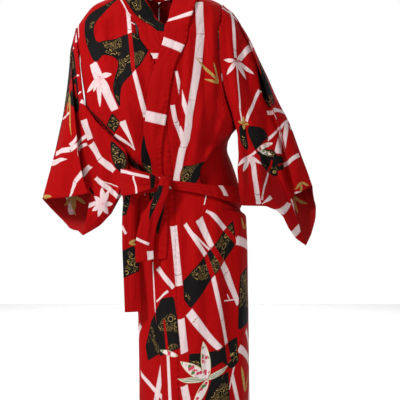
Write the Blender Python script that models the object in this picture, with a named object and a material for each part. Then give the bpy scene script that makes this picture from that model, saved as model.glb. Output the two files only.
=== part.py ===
import math

import bmesh
import bpy
from mathutils import Vector

# The forms are laid out on a front drawing: columns run to the wearer's left, rows run down.
DRAWING_UNITS = 430.0       # drawing units in one metre
NECK_COLUMN = 165.0         # drawing column of x = 0
NECK_ROW = -8.0             # drawing row of z = 0, the shoulder line beside the neck
VIEW_CENTRE = 200.0         # middle column and row of the drawing
VIEW_DISTANCE = 2.6         # the drawing shows the robe from this far in front of it
FRONT_DEPTH = -0.115        # usual depth y of the front edges
SIDE_DEPTH = -0.050         # usual depth y of the front armholes and underarm edges

CLOTH_WALL = 0.0016         # plain cotton with its hems
COLLAR_WALL = 0.0024        # the collar is a folded band of several layers
BELT_WALL = 0.0022          # the belt is a band of two layers
SEAM_GAP = 0.0005           # clearance between two pieces along a seam
LAYER_STEP = 0.0036         # one layer of cloth lies this far outside the next one in

YOKE_ROW = 30.0             # above this row the cloth turns over the shoulder
UNDERARM_ROW_RIGHT = 112.0  # end of the sewn armhole on the wearer's right
UNDERARM_ROW_LEFT = 126.0   # end of the sewn armhole on the wearer's left
UNDERARM_ROW_LEFT_BACK = 122.0  # the same behind
SIDE_SEAM_ROW = 216.0       # start of the side seams under the open underarms
SECTION_POWER = 0.86        # below 1 makes the sections squarer than an ellipse
SHARP_EDGE = math.radians(50.0)  # edges of the cloth stay crisp, the faces between them are smooth

# row: drawing row; left, right: widest columns; front, back: depth of the section in metres
BODY = (
    # row,   left,  right, front, back
    (30.0, 64.0, 238.0, 0.088, 0.082),
    (60.0, 67.0, 239.0, 0.108, 0.094),
    (90.0, 72.0, 240.0, 0.122, 0.097),
    (112.0, 79.0, 242.0, 0.124, 0.094),
    (126.0, 90.0, 240.0, 0.120, 0.090),
    (143.0, 104.0, 226.0, 0.114, 0.085),
    (160.0, 114.0, 230.5, 0.106, 0.081),
    (176.0, 119.0, 236.0, 0.102, 0.080),
    (192.0, 121.5, 240.5, 0.106, 0.086),
    (206.0, 124.0, 243.5, 0.112, 0.095),
    (250.0, 131.0, 246.0, 0.124, 0.114),
    (313.0, 139.5, 247.2, 0.127, 0.118),
    (400.0, 141.0, 248.0, 0.129, 0.121),
    (584.0, 141.0, 250.0, 0.134, 0.126),
)

# Shoulder line seen from the front, from one armhole over the neck to the other.
SHOULDER = (
    # column, row
    (78.0, 28.5),
    (82.0, 22.5),
    (96.0, 6.5),
    (115.0, -1.0),
    (135.0, -7.0),
    (158.0, -8.0),
    (182.0, -6.0),
    (199.0, -1.5),
    (212.0, 1.5),
    (222.0, 5.5),
)

# Front edges of the four front pieces, and the edges beside the armholes and open underarms.
RIGHT_FRONT_INNER = (
    # row, column
    (30.0, 135.0),
    (62.0, 155.0),
    (95.0, 169.0),
    (125.0, 177.0),
    (150.0, 178.5),
    (178.0, 174.0),
    (200.0, 177.0),
    (250.0, 189.0),
    (313.0, 196.0),
    (400.0, 199.0),
    (584.0, 202.0),
)
RIGHT_FRONT_OUTER = (
    # row, column
    (30.0, 78.0),
    (60.0, 80.0),
    (90.0, 84.0),
    (112.0, 88.5),
    (121.0, 97.0),
    (134.0, 107.0),
    (147.0, 120.0),
    (158.0, 129.5),
    (166.0, 140.0),
    (174.0, 149.0),
    (182.0, 151.0),
    (192.0, 143.0),
    (204.0, 132.0),
    (216.0, 126.0),
)
LEFT_FRONT_INNER = (
    # row, column
    (30.0, 187.5),
    (45.0, 182.5),
    (57.0, 176.0),
    (71.0, 171.8),
    (87.0, 168.5),
    (112.0, 165.5),
    (125.0, 166.5),
    (150.0, 170.0),
    (176.0, 172.5),
    (200.0, 174.5),
    (288.0, 177.0),
    (358.0, 178.5),
    (400.0, 179.5),
    (584.0, 182.0),
)
LEFT_FRONT_OUTER = (
    # row, column
    (30.0, 218.0),
    (60.0, 220.0),
    (95.0, 224.5),
    (118.0, 231.0),
    (126.0, 234.5),
    (132.0, 232.5),
    (144.0, 221.5),
    (161.0, 207.0),
    (171.0, 200.5),
    (182.0, 200.0),
    (192.0, 209.0),
    (204.0, 228.0),
    (216.0, 245.0),
)
OVERLAP_RIGHT_EDGE = (
    # row, column of the strip's free edge, hidden under the left front
    (178.0, 184.0),
    (200.0, 197.0),
    (250.0, 212.0),
    (313.0, 222.0),
    (400.0, 227.0),
    (584.0, 230.0),
)
OVERLAP_LEFT_EDGE = (
    # row, column of the strip's free edge, the front edge of the robe
    (112.0, 164.0),
    (140.0, 160.5),
    (176.0, 158.0),
    (200.0, 157.0),
    (230.0, 154.0),
    (262.0, 151.7),
    (300.0, 152.8),
    (350.0, 157.5),
    (400.0, 161.0),
    (584.0, 166.0),
)

CENTRE_BACK = (
    # row, column of the seam between both backs
    (30.0, 157.5),
    (90.0, 161.0),
    (143.0, 169.0),
    (192.0, 179.5),
    (250.0, 188.0),
    (313.0, 193.0),
    (584.0, 195.5),
)

# Back armholes and back underarm edges, as angles round the section from the front centre.
BACK_EDGE_RIGHT = (
    # row, angle
    (30.0, -122.0),
    (90.0, -120.0),
    (112.0, -112.0),
    (126.0, -82.0),
    (143.0, -62.0),
    (160.0, -48.0),
    (178.0, -36.0),
    (200.0, -62.0),
    (216.0, -90.0),
    (584.0, -90.0),
)
BACK_EDGE_LEFT = (
    # row, angle
    (30.0, 122.0),
    (90.0, 120.0),
    (112.0, 114.0),
    (126.0, 96.0),
    (143.0, 56.0),
    (160.0, 27.0),
    (176.0, 18.0),
    (190.0, 19.0),
    (202.0, 32.0),
    (216.0, 90.0),
    (584.0, 90.0),
)

# Collar stations: where it is sewn to the body and where its free edge runs.
COLLAR_UNDER = (
    # row, sewn column, free column
    (34.0, 138.0, 166.0),
    (45.0, 145.0, 173.0),
    (62.0, 155.0, 181.0),
    (95.0, 169.0, 192.0),
    (125.0, 177.0, 198.0),
    (150.0, 178.5, 198.5),
    (165.0, 176.0, 196.0),
    (178.0, 174.0, 194.0),
    (200.0, 177.0, 197.0),
    (240.0, 186.0, 205.0),
)
COLLAR_OVER = (
    # row, sewn column, free column
    (34.0, 188.8, 164.5),
    (45.0, 185.0, 161.5),
    (57.0, 178.5, 158.0),
    (71.0, 174.0, 153.3),
    (87.0, 170.6, 149.0),
    (112.0, 167.3, 146.0),
    (133.0, 164.0, 144.3),
    (150.0, 162.0, 147.0),
    (162.0, 161.5, 151.0),
    (176.0, 163.0, 152.0),
    (200.0, 167.0, 147.0),
    (230.0, 168.0, 148.0),
    (256.0, 166.0, 151.0),
)
# Free edge of the collar from one front over the shoulders and round the back of the neck.
COLLAR_FREE_RIGHT = (
    # turn over the shoulder in degrees, column, row, depth y
    (0.0, 164.0, 30.0, -0.0900),
    (30.0, 152.0, 10.0, -0.0770),
    (60.0, 143.0, -6.0, -0.0520),
    (90.0, 137.5, -17.0, -0.0120),
    (105.0, 138.0, -21.0, 0.0140),
    (120.0, 145.5, -24.0, 0.0400),
    (135.0, 158.0, -25.5, 0.0530),
)
COLLAR_FREE_LEFT = (
    # turn over the shoulder in degrees, column, row, depth y
    (0.0, 166.0, 30.0, -0.0970),
    (30.0, 170.0, 10.0, -0.0850),
    (60.0, 175.5, -6.0, -0.0560),
    (90.0, 179.5, -17.0, -0.0120),
    (105.0, 178.5, -21.0, 0.0140),
    (120.0, 170.5, -24.0, 0.0400),
    (135.0, 158.0, -25.5, 0.0530),
)

# Sleeve outlines: the upper fold, the lower fold, both armhole edges and both edges of the mouth.
SLEEVE_RIGHT_TOP = (
    # column, row, depth y
    (77.0, 29.5, 0.000),
    (71.0, 50.0, -0.002),
    (69.5, 71.0, -0.004),
    (67.6, 89.0, -0.006),
    (64.0, 115.0, -0.010),
    (56.0, 153.0, -0.016),
    (48.5, 182.0, -0.022),
    (44.0, 199.0, -0.026),
)
SLEEVE_RIGHT_BOTTOM = (
    # column, row, depth y
    (126.0, 190.0, -0.066),
    (121.0, 196.0, -0.060),
    (112.0, 213.0, -0.046),
    (101.0, 225.0, -0.036),
    (92.0, 230.5, -0.030),
    (84.0, 235.0, -0.026),
)
SLEEVE_RIGHT_MOUTH_FRONT = (
    # column, row
    (44.0, 199.0),
    (58.0, 198.5),
    (74.0, 197.0),
    (92.5, 193.0),
    (91.0, 205.0),
    (88.0, 220.0),
    (84.0, 235.0),
)
SLEEVE_RIGHT_MOUTH_BACK = (
    # column, row
    (84.0, 235.0),
    (78.0, 230.5),
    (71.0, 229.5),
    (62.0, 220.0),
    (52.0, 209.5),
    (44.0, 199.0),
)
SLEEVE_LEFT_TOP = (
    # column, row, depth y
    (223.0, 6.5, 0.000),
    (236.0, 17.0, -0.002),
    (250.0, 41.0, -0.006),
    (257.0, 57.0, -0.010),
    (266.0, 76.0, -0.014),
    (276.0, 100.0, -0.020),
    (287.0, 122.0, -0.028),
    (297.0, 150.0, -0.040),
    (305.0, 172.0, -0.050),
    (309.5, 186.0, -0.056),
)
SLEEVE_LEFT_BOTTOM = (
    # column, row, depth y
    (241.0, 205.5, -0.178),
    (252.0, 205.5, -0.168),
    (264.0, 205.5, -0.150),
    (275.0, 209.5, -0.128),
    (281.0, 215.0, -0.112),
    (287.0, 228.0, -0.096),
    (294.0, 238.0, -0.084),
    (303.0, 244.0, -0.074),
)
SLEEVE_LEFT_MOUTH_FRONT = (
    # column, row
    (309.5, 186.0),
    (304.0, 189.0),
    (298.0, 192.0),
    (290.5, 195.0),
    (292.0, 208.0),
    (296.0, 226.0),
    (303.0, 244.0),
)
SLEEVE_LEFT_MOUTH_BACK = (
    # column, row
    (303.0, 244.0),
    (309.0, 234.0),
    (314.0, 219.0),
    (314.5, 208.0),
    (312.0, 198.0),
    (309.5, 186.0),
)

# Belt line round the waist over the closed robe.
BELT_LINE = (
    # angle, row of the middle, half width in drawing units, distance outside the body in metres
    (-180.0, 180.0, 9.5, 0.0050),
    (-130.0, 172.0, 9.5, 0.0050),
    (-90.0, 167.0, 9.0, 0.0060),
    (-66.0, 167.0, 7.5, 0.0110),
    (-48.0, 169.5, 5.5, 0.0150),
    (-24.0, 177.0, 4.2, 0.0215),
    (-8.0, 184.0, 4.2, 0.0220),
    (14.0, 189.5, 5.0, 0.0218),
    (40.0, 194.0, 7.5, 0.0195),
    (70.0, 196.0, 9.0, 0.0165),
    (90.0, 196.0, 9.5, 0.0120),
    (130.0, 190.0, 9.5, 0.0050),
    (180.0, 180.0, 9.5, 0.0050),
)

# Hanging ends and bow loop: each row is one place along the band.
TAIL_LONG = (
    # column, row, depth y, half width, tilt in degrees, cup in metres
    (157.9, 187.5, -0.1330, 4.0, -88.0, 0.000),
    (147.0, 188.5, -0.1210, 4.5, -84.0, 0.001),
    (138.5, 190.5, -0.1110, 5.5, -66.0, 0.002),
    (133.0, 196.0, -0.1090, 6.5, -38.0, 0.003),
    (130.5, 205.0, -0.1080, 7.3, -12.0, 0.004),
    (129.8, 222.0, -0.1080, 7.5, -2.0, 0.005),
    (130.0, 242.0, -0.1090, 7.6, 0.0, 0.005),
    (131.0, 264.0, -0.1090, 7.8, 1.0, 0.004),
    (132.2, 288.0, -0.1080, 8.0, 2.0, 0.004),
    (133.2, 312.0, -0.1070, 8.1, 3.0, 0.003),
)
TAIL_SHORT = (
    # column, row, depth y, half width, tilt in degrees, cup in metres
    (165.0, 180.0, -0.1503, 4.6, -10.0, 0.003),
    (163.5, 189.0, -0.1522, 5.2, -22.0, 0.003),
    (159.5, 199.0, -0.1520, 6.0, -26.0, 0.003),
    (154.0, 210.0, -0.1505, 7.2, -20.0, 0.004),
    (148.5, 223.0, -0.1480, 8.2, -10.0, 0.004),
    (145.5, 238.0, -0.1460, 8.6, -3.0, 0.004),
    (144.5, 251.0, -0.1455, 8.7, 0.0, 0.004),
    (144.6, 261.0, -0.1455, 8.6, 12.0, 0.003),
)
LOOP = (
    # column, row, lift outside the body, half width
    (157.4, 183.0, 0.0420, 4.5),
    (151.0, 182.5, 0.0520, 7.0),
    (141.0, 183.0, 0.0590, 9.5),
    (132.0, 183.5, 0.0570, 11.5),
    (125.0, 183.0, 0.0520, 12.5),
    (121.0, 182.5, 0.0440, 12.5),
    (123.0, 182.0, 0.0370, 12.0),
    (130.0, 182.0, 0.0340, 11.0),
    (139.0, 182.0, 0.0330, 9.0),
    (148.0, 182.0, 0.0330, 6.5),
    (155.5, 182.5, 0.0340, 4.5),
)
KNOT = (
    # share along the knot, half width, half depth, in metres
    (0.0, 0.0060, 0.0050),
    (0.12, 0.0110, 0.0090),
    (0.34, 0.0136, 0.0112),
    (0.52, 0.0120, 0.0098),
    (0.70, 0.0134, 0.0110),
    (0.88, 0.0106, 0.0090),
    (1.0, 0.0058, 0.0048),
)
KNOT_TOP = (167.5, 177.0, -0.1374)
KNOT_END = (161.0, 192.0, -0.1374)
KNOT_RIPPLE = 0.05          # waviness of the knot's section
KNOT_SIDES = 14
KNOT_STEPS = 10

RED_CLOTH = (0.55, 0.004, 0.008, 1.0)
DEEP_RED = (0.46, 0.003, 0.007, 1.0)
COTTON_ROUGHNESS = 0.82


def clear_scene():
    for item in list(bpy.data.objects):
        bpy.data.objects.remove(item, do_unlink=True)


def make_material(name, colour):
    material = bpy.data.materials.new(name + " cotton")
    material.use_nodes = True
    shader = material.node_tree.nodes["Principled BSDF"]
    shader.inputs["Base Color"].default_value = colour
    shader.inputs["Roughness"].default_value = COTTON_ROUGHNESS
    shader.inputs["Metallic"].default_value = 0.0
    return material


def slope(table, i, column):
    """Slope of a column at row i of the table, limited so that the curve never overshoots its rows."""
    if i == 0 or i == len(table) - 1:
        return 0.0 if len(table) < 3 else end_slope(table, i, column)
    before = (table[i][column] - table[i - 1][column]) / (table[i][0] - table[i - 1][0])
    after = (table[i + 1][column] - table[i][column]) / (table[i + 1][0] - table[i][0])
    if before * after <= 0.0:
        return 0.0
    return 2.0 * before * after / (before + after)


def end_slope(table, i, column):
    other = 1 if i == 0 else i - 1
    return (table[other][column] - table[i][column]) / (table[other][0] - table[i][0])


def read(table, at, column=1):
    """Value of a column where the table's first column equals at, on a smooth curve through its rows."""
    if at <= table[0][0]:
        return table[0][column]
    if at >= table[-1][0]:
        return table[-1][column]
    i = max(k for k in range(len(table) - 1) if table[k][0] <= at)
    span = table[i + 1][0] - table[i][0]
    t = (at - table[i][0]) / span
    start, end = table[i][column], table[i + 1][column]
    rise, fall = slope(table, i, column) * span, slope(table, i + 1, column) * span
    return (
        start * (2 * t**3 - 3 * t**2 + 1)
        + rise * (t**3 - 2 * t**2 + t)
        + end * (3 * t**2 - 2 * t**3)
        + fall * (t**3 - t**2)
    )


def smooth(t):
    t = min(1.0, max(0.0, t))
    return t * t * (3.0 - 2.0 * t)


def mix(a, b, t):
    return a + (b - a) * t


def to_x(column):
    return (column - NECK_COLUMN) / DRAWING_UNITS


def to_z(row):
    return (NECK_ROW - row) / DRAWING_UNITS


def true(value, y):
    """Drawing column or row in the plane y = 0 of a place drawn at value and lying at depth y."""
    return VIEW_CENTRE + (value - VIEW_CENTRE) * (1.0 + y / VIEW_DISTANCE)


def drawn(value, y):
    """The other way round: where a place of the plane y = 0 would be drawn if it lay at depth y."""
    return VIEW_CENTRE + (value - VIEW_CENTRE) / (1.0 + y / VIEW_DISTANCE)


def place(column, row, y):
    return Vector((to_x(true(column, y)), y, to_z(true(row, y))))


def rounded(value):
    return math.copysign(abs(value) ** SECTION_POWER, value)


def section_point(row, angle, lift=0.0):
    """Point of the body section: angle 0 is the front centre, +90 the wearer's left side, 180 the back."""
    left, right = to_x(read(BODY, row, 1)), to_x(read(BODY, row, 2))
    turn = math.radians(angle)
    depth = read(BODY, row, 3 if math.cos(turn) > 0.0 else 4) + lift
    x = (left + right) / 2 + ((right - left) / 2 + lift) * rounded(math.sin(turn))
    return Vector((x, -depth * rounded(math.cos(turn)), to_z(row)))


def angle_at(row, column, lift=0.0):
    """Front angle at which the section of this row, moved out by lift, crosses the drawing column."""
    left, right = read(BODY, row, 1), read(BODY, row, 2)
    depth = read(BODY, row, 3) + lift
    cosine = 0.8
    for _ in range(4):
        across = true(column, -depth * cosine**SECTION_POWER) - (left + right) / 2
        share = max(-1.0, min(1.0, across / ((right - left) / 2 + lift * DRAWING_UNITS)))
        sine = abs(share) ** (1 / SECTION_POWER)
        cosine = math.sqrt(1.0 - sine * sine)
    return math.degrees(math.asin(math.copysign(sine, share)))


def point_at(row, column, lift):
    """Point over the front of the body at a drawing row and column, this far outside it."""
    return section_point(row, angle_at(row, column, lift), lift)


FOLD_DEPTH = 0.0032         # depth of the skirt's large hanging folds
FOLD_START = 205.0          # row under the belt where these folds begin
FOLD_GROWTH = 120.0         # rows over which they reach their full depth
LARGE_FOLDS = 4.0           # large folds round the skirt
LARGE_FOLD_TURN = 0.9       # their place round the skirt in radians
SMALL_FOLDS = 7.0           # folds between them
SMALL_FOLD_SHARE = 0.55     # the small folds are this much as deep
SMALL_FOLD_DRIFT = 160.0    # rows over which the small folds wander by one radian


def skirt_folds(row, angle):
    """Hanging folds of the skirt, as a distance in or out of the section."""
    turn = math.radians(angle)
    large = math.sin(turn * LARGE_FOLDS + LARGE_FOLD_TURN)
    small = math.sin(turn * SMALL_FOLDS + row / SMALL_FOLD_DRIFT)
    return FOLD_DEPTH * smooth((row - FOLD_START) / FOLD_GROWTH) * (large + SMALL_FOLD_SHARE * small)


def panel_solid(name, grid, wall, colour, ring=False):
    """Cloth of even thickness round a grid of points; ring joins the last column to the first."""
    rows, columns = len(grid), len(grid[0])
    normals = []
    for i in range(rows):
        line = []
        for j in range(columns):
            down = grid[min(i + 1, rows - 1)][j] - grid[max(i - 1, 0)][j]
            if ring:
                across = grid[i][(j + 1) % columns] - grid[i][j - 1]
            else:
                across = grid[i][min(j + 1, columns - 1)] - grid[i][max(j - 1, 0)]
            line.append(down.cross(across).normalized())
        normals.append(line)
    shape = bmesh.new()
    sides = []
    for sign in (0.5, -0.5):
        sides.append(
            [
                [shape.verts.new(p + n * wall * sign) for p, n in zip(line, ns)]
                for line, ns in zip(grid, normals)
            ]
        )
    outer, inner = sides
    steps = columns if ring else columns - 1
    for i in range(rows - 1):
        for j in range(steps):
            k = (j + 1) % columns
            shape.faces.new((outer[i][j], outer[i][k], outer[i + 1][k], outer[i + 1][j]))
            shape.faces.new((inner[i][j], inner[i + 1][j], inner[i + 1][k], inner[i][k]))
    for j in range(steps):
        k = (j + 1) % columns
        shape.faces.new((outer[0][k], outer[0][j], inner[0][j], inner[0][k]))
        shape.faces.new((outer[-1][j], outer[-1][k], inner[-1][k], inner[-1][j]))
    if not ring:
        for i in range(rows - 1):
            shape.faces.new((outer[i][0], outer[i + 1][0], inner[i + 1][0], inner[i][0]))
            shape.faces.new((outer[i + 1][-1], outer[i][-1], inner[i][-1], inner[i + 1][-1]))
    return finish_solid(name, shape, colour)


def finish_solid(name, shape, colour):
    bmesh.ops.recalc_face_normals(shape, faces=shape.faces)
    if shape.calc_volume(signed=True) < 0.0:
        bmesh.ops.reverse_faces(shape, faces=shape.faces)
    mesh = bpy.data.meshes.new(name)
    shape.to_mesh(mesh)
    shape.free()
    for face in mesh.polygons:
        face.use_smooth = True
    mesh.set_sharp_from_angle(angle=SHARP_EDGE)
    mesh.materials.append(make_material(name, colour))
    item = bpy.data.objects.new(name, mesh)
    bpy.context.scene.collection.objects.link(item)
    return item


# Body: one length of cloth on each side, from the back hem over the shoulder to the front hem.

BODY_COLUMNS = 10
YOKE_STEPS = 12
YOKE_DROP = 32.0            # the turn over the shoulder starts this far under the shoulder line
YOKE_FADE = 90.0            # rows over which the slanted yoke evens out to level rows
YOKE_SLOPE = 0.85           # below 1 makes the turn over the shoulder fuller beside the neck
YOKE_FLAT = 0.70            # the same for its depth
BACK_SLOPE = 0.60           # the same behind the neck, where the neckline is nearly level
NECK_CENTRE = 158.0         # drawing column of the back of the neck
NECK_TURN = 135.0           # degrees over the shoulder at which both backs meet behind the neck
FRONT_ROWS = (30, 40, 50, 60, 70, 80, 91, 102, 112, 121, 131, 141, 151, 161, 170, 179, 188, 197, 206, 216,
              230, 246, 264, 284, 306, 330, 356, 384, 414, 446, 480, 516, 550, 584)
BACK_ROWS = (30, 44, 60, 78, 96, 112, 124, 136, 150, 164, 178, 190, 202, 216,
             234, 256, 280, 306, 336, 368, 402, 438, 476, 514, 550, 584)
SIDE_BLEND = 34.0           # degrees over which a front comes out from the side seam to its own layer
FRONT_CLOSE = 30.0          # rows over which the open front edge closes into the side seam
NECK_COLUMNS = {-1: 119.0, 1: 197.0}
ARM_COLUMNS = {-1: 78.0, 1: 222.0}
FRONT_LAYERS = {-1: 2.0, 1: 4.0}
INNER_EDGES = {-1: RIGHT_FRONT_INNER, 1: LEFT_FRONT_INNER}
OUTER_EDGES = {-1: RIGHT_FRONT_OUTER, 1: LEFT_FRONT_OUTER}
BACK_EDGES = {-1: BACK_EDGE_RIGHT, 1: BACK_EDGE_LEFT}


def slanted(row, side, share):
    """Row of a point at this share from neck to arm: the upper rows follow the slope of the shoulder."""
    ridge = read(SHOULDER, mix(NECK_COLUMNS[side], ARM_COLUMNS[side], share))
    drop = ridge + YOKE_DROP - YOKE_ROW
    return row + drop * (1.0 - smooth((row - YOKE_ROW) / YOKE_FADE))


def front_lift(row, angle, side, layers):
    """How far a front lies outside the back: nothing at the side seam, all its layers further in."""
    away = smooth((90.0 - abs(angle)) / SIDE_BLEND) if angle * side > 0 else 1.0
    free = 1.0 - smooth((row - SIDE_SEAM_ROW + FRONT_CLOSE) / FRONT_CLOSE)
    return LAYER_STEP * layers * max(away, free)


def front_point(row, angle, side, layers):
    lift = front_lift(row, angle, side, layers) + skirt_folds(row, angle)
    return section_point(row, angle, lift)


def front_row(row, side):
    """Points of a front from its inner edge to its armhole, underarm or side edge."""
    line = []
    for j in range(BODY_COLUMNS + 1):
        share = j / BODY_COLUMNS
        level = slanted(row, side, share)
        layer = LAYER_STEP * FRONT_LAYERS[side]
        start = angle_at(level, read(INNER_EDGES[side], drawn(level, FRONT_DEPTH)), layer)
        end = side * 90.0
        if row < SIDE_SEAM_ROW:
            end = angle_at(level, read(OUTER_EDGES[side], drawn(level, SIDE_DEPTH)), layer)
        line.append(front_point(level, mix(start, end, share), side, FRONT_LAYERS[side]))
    if row >= SIDE_SEAM_ROW:
        line[-1].y -= SEAM_GAP
    return line


def centre_back_angle(row, side):
    """Angle of the centre-back seam, near 180 degrees, as each side's back counts it."""
    left, right = read(BODY, row, 1), read(BODY, row, 2)
    share = (read(CENTRE_BACK, row) - (left + right) / 2) / ((right - left) / 2)
    turn = math.degrees(math.asin(math.copysign(abs(share) ** (1 / SECTION_POWER), share)))
    return side * 180.0 - turn


def back_row(row, side):
    """Points of a back from the centre-back seam to its armhole, underarm or side edge."""
    line = []
    for j in range(BODY_COLUMNS + 1):
        share = j / BODY_COLUMNS
        level = slanted(row, side, share)
        angle = mix(centre_back_angle(level, side), read(BACK_EDGES[side], level), share)
        line.append(section_point(level, angle, skirt_folds(level, angle)))
    line[0].x += side * SEAM_GAP
    if row >= SIDE_SEAM_ROW:
        line[-1].y += SEAM_GAP
    return line


def yoke_row(front, back, side, degrees):
    """Row that carries the cloth over the shoulder line, degrees counted from the front to the back."""
    turn = math.radians(degrees)
    base = front if degrees < 90.0 else back
    share = math.sin(turn) ** YOKE_SLOPE
    neck_x = to_x(NECK_COLUMNS[side])
    arm_x = to_x(ARM_COLUMNS[side])
    inner_x = mix(base[0].x, neck_x, share)
    if degrees > 90.0:
        centre_x = to_x(NECK_CENTRE) + side * SEAM_GAP
        inner_x = mix(neck_x, centre_x, smooth((degrees - 90.0) / (NECK_TURN - 90.0)))
        if degrees > NECK_TURN:
            inner_x = mix(centre_x, base[0].x, (degrees - NECK_TURN) / (180.0 - NECK_TURN))
    outer_x = mix(base[-1].x, arm_x, share)
    line = []
    for j in range(BODY_COLUMNS + 1):
        across = (base[j].x - base[0].x) / (base[-1].x - base[0].x)
        x = mix(inner_x, outer_x, across)
        ridge = to_z(read(SHOULDER, x * DRAWING_UNITS + NECK_COLUMN))
        flat = mix(YOKE_FLAT, 1.0, across)
        y = base[j].y * abs(math.cos(turn)) ** flat
        full = mix(YOKE_SLOPE if degrees < 90.0 else BACK_SLOPE, 1.0, across)
        line.append(Vector((x, y, mix(base[j].z, ridge, math.sin(turn) ** full))))
    return line


def body_rows(side):
    """Fronts, the turn over the shoulder from front to back, and backs, as three lists of rows."""
    front = [front_row(row, side) for row in FRONT_ROWS]
    back = [back_row(row, side) for row in BACK_ROWS]
    degrees = [180.0 * step / YOKE_STEPS for step in range(1, YOKE_STEPS)]
    yoke = [yoke_row(front[0], back[0], side, turn) for turn in degrees]
    return front, yoke, back


def make_body(name, rows):
    front, yoke, back = rows
    grid = back[::-1] + yoke[::-1] + front
    return panel_solid(name, grid, CLOTH_WALL, RED_CLOTH)


# Overlap strips sewn to the fronts.

OVERLAP_COLUMNS = 4
OVERLAP_RIGHT_START = 188.0
OVERLAP_LEFT_START = 112.0


def make_overlap(name, side, first, edge):
    grid = []
    for row in (row for row in FRONT_ROWS if row >= first):
        layer = LAYER_STEP * FRONT_LAYERS[side]
        level = slanted(row, side, 0.0)
        seam = read(INNER_EDGES[side], drawn(level, FRONT_DEPTH)) - side * SEAM_GAP * DRAWING_UNITS
        start = angle_at(row, read(edge, drawn(row, FRONT_DEPTH)), layer)
        end = angle_at(row, seam, layer)
        line = []
        for j in range(OVERLAP_COLUMNS + 1):
            angle = mix(start, end, j / OVERLAP_COLUMNS)
            line.append(front_point(row, angle, side, FRONT_LAYERS[side]))
        grid.append(line)
    return panel_solid(name, grid, CLOTH_WALL, RED_CLOTH)


# Collar: one band from the right overlap round the neck to the left overlap.

COLLAR_COLUMNS = 3
COLLAR_UNDER_ROWS = (240, 220, 200, 188, 178, 165, 150, 136, 122, 108, 94, 80, 68, 56, 44, 34)
COLLAR_OVER_ROWS = (34, 44, 56, 68, 80, 94, 108, 122, 136, 150, 162, 174, 186, 200, 215, 235, 256)
COLLAR_UNDER_LAYERS = 3.0
COLLAR_OVER_LAYERS = 5.1
COLLAR_CLEARANCE = 0.0054   # the collar's middle lies this far over the cloth that it is sewn to
COLLAR_OVERLAP = 0.0035     # width of panel under the sewn edge
COLLAR_LEAN = 0.35          # how far the sewn edge moves sideways as it moves out over the shoulder


def collar_row(table, row, layers):
    line = []
    seen = drawn(row, FRONT_DEPTH)
    start = angle_at(row, read(table, seen, 1), LAYER_STEP * layers)
    end = angle_at(row, read(table, seen, 2), LAYER_STEP * layers)
    for j in range(COLLAR_COLUMNS + 1):
        line.append(section_point(row, mix(start, end, j / COLLAR_COLUMNS), LAYER_STEP * layers))
    return line


def neck_row(front, back, side, degrees, free_table):
    """Collar section over the shoulder: from the body's neck edge, moved out, to the free edge."""
    turn = math.radians(degrees)
    edge = yoke_row(front, back, side, degrees)
    outward = Vector((side * COLLAR_LEAN, -math.cos(turn), math.sin(turn))).normalized()
    across = (edge[1] - edge[0]).normalized()
    sewn = edge[0] + outward * COLLAR_CLEARANCE
    if degrees < NECK_TURN:
        sewn += across * COLLAR_OVERLAP
    free = place(read(free_table, degrees, 1), read(free_table, degrees, 2), read(free_table, degrees, 3))
    return [sewn.lerp(free, j / COLLAR_COLUMNS) for j in range(COLLAR_COLUMNS + 1)]


def make_collar(bodies):
    grid = [collar_row(COLLAR_UNDER, row, COLLAR_UNDER_LAYERS) for row in COLLAR_UNDER_ROWS]
    for side, table in ((-1, COLLAR_FREE_RIGHT), (1, COLLAR_FREE_LEFT)):
        front, back = bodies[side][0][0], bodies[side][2][0]
        degrees = [15.0 * step for step in range(1, 10)]
        if side == 1:
            degrees = degrees[-2::-1]
        grid += [neck_row(front, back, side, turn, table) for turn in degrees]
    grid += [collar_row(COLLAR_OVER, row, COLLAR_OVER_LAYERS) for row in COLLAR_OVER_ROWS]
    return panel_solid("collar", grid, COLLAR_WALL, DEEP_RED)


# Sleeves: a length of cloth folded over the arm, sewn along its lower fold, open at both ends.

SLEEVE_STATIONS = 14
STRIP_COLUMNS = 4
RECESS_COLUMNS = 5          # between the deep fold and the line from the underarm, and as many below it
BACK_COLUMNS = 5            # the same on the back of the sleeve
UNDERARM_AT_MOUTH = (0.80, 0.60)  # where that line meets the mouth, front and back
SEAM_STEP = {-1: 0.0018, 1: 0.0012}  # the sleeve's edge stands this far from the armhole's edge
SEAM_LEVEL = 60.0           # below this row the step widens towards the underarm
SEAM_SPREAD = 1.4           # by this share of itself at the underarm
SPREAD = {-1: (0.046, 0.034), 1: (0.030, 0.032)}  # half depths of both mouths, to the front and to the back
STRIP = {-1: (0.06, 0.53), 1: (0.03, 0.28)}       # place of the deep fold at the armhole and at the mouth
PLEAT = {-1: 0.024, 1: 0.020}                     # depth of the deep fold
BULGE = {-1: 0.006, 1: 0.008}                     # roundness of the cloth between its edges
PLEAT_START = 0.45          # share of the sleeve's length over which the deep fold opens
STRIP_CROWD = 0.8           # below 1 sets the columns of the outer strip closer to the deep fold
TURNED_PLACE = 0.80         # the cloth turned in behind the fold lies at this share of the strip's width
TURNED_DEPTH = 0.55         # and at this share of the fold's depth
RECESS_START = 0.97         # the recess starts at this share of the strip's width
RECESS_CROWD = 1.2          # above 1 sets the columns of the recess closer to the fold
RECESS_FADE = 0.8           # below 1 brings the recess forward faster towards the bottom
MOUTH_ROUND = 0.7           # below 1 makes the sleeve's mouth fuller towards its corners


def armhole(rows, last, side):
    """Armhole edge of the body from the shoulder down to the underarm, moved off by the seam."""
    points = [line[-1].copy() for line in rows]
    kept = [p for p in points if p.z > to_z(last)]
    for p in kept:
        low = smooth((to_z(SEAM_LEVEL) - p.z) / (to_z(SEAM_LEVEL) - to_z(last)))
        p.x += side * SEAM_STEP[side] * (1.0 + SEAM_SPREAD * low)
    return kept


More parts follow.
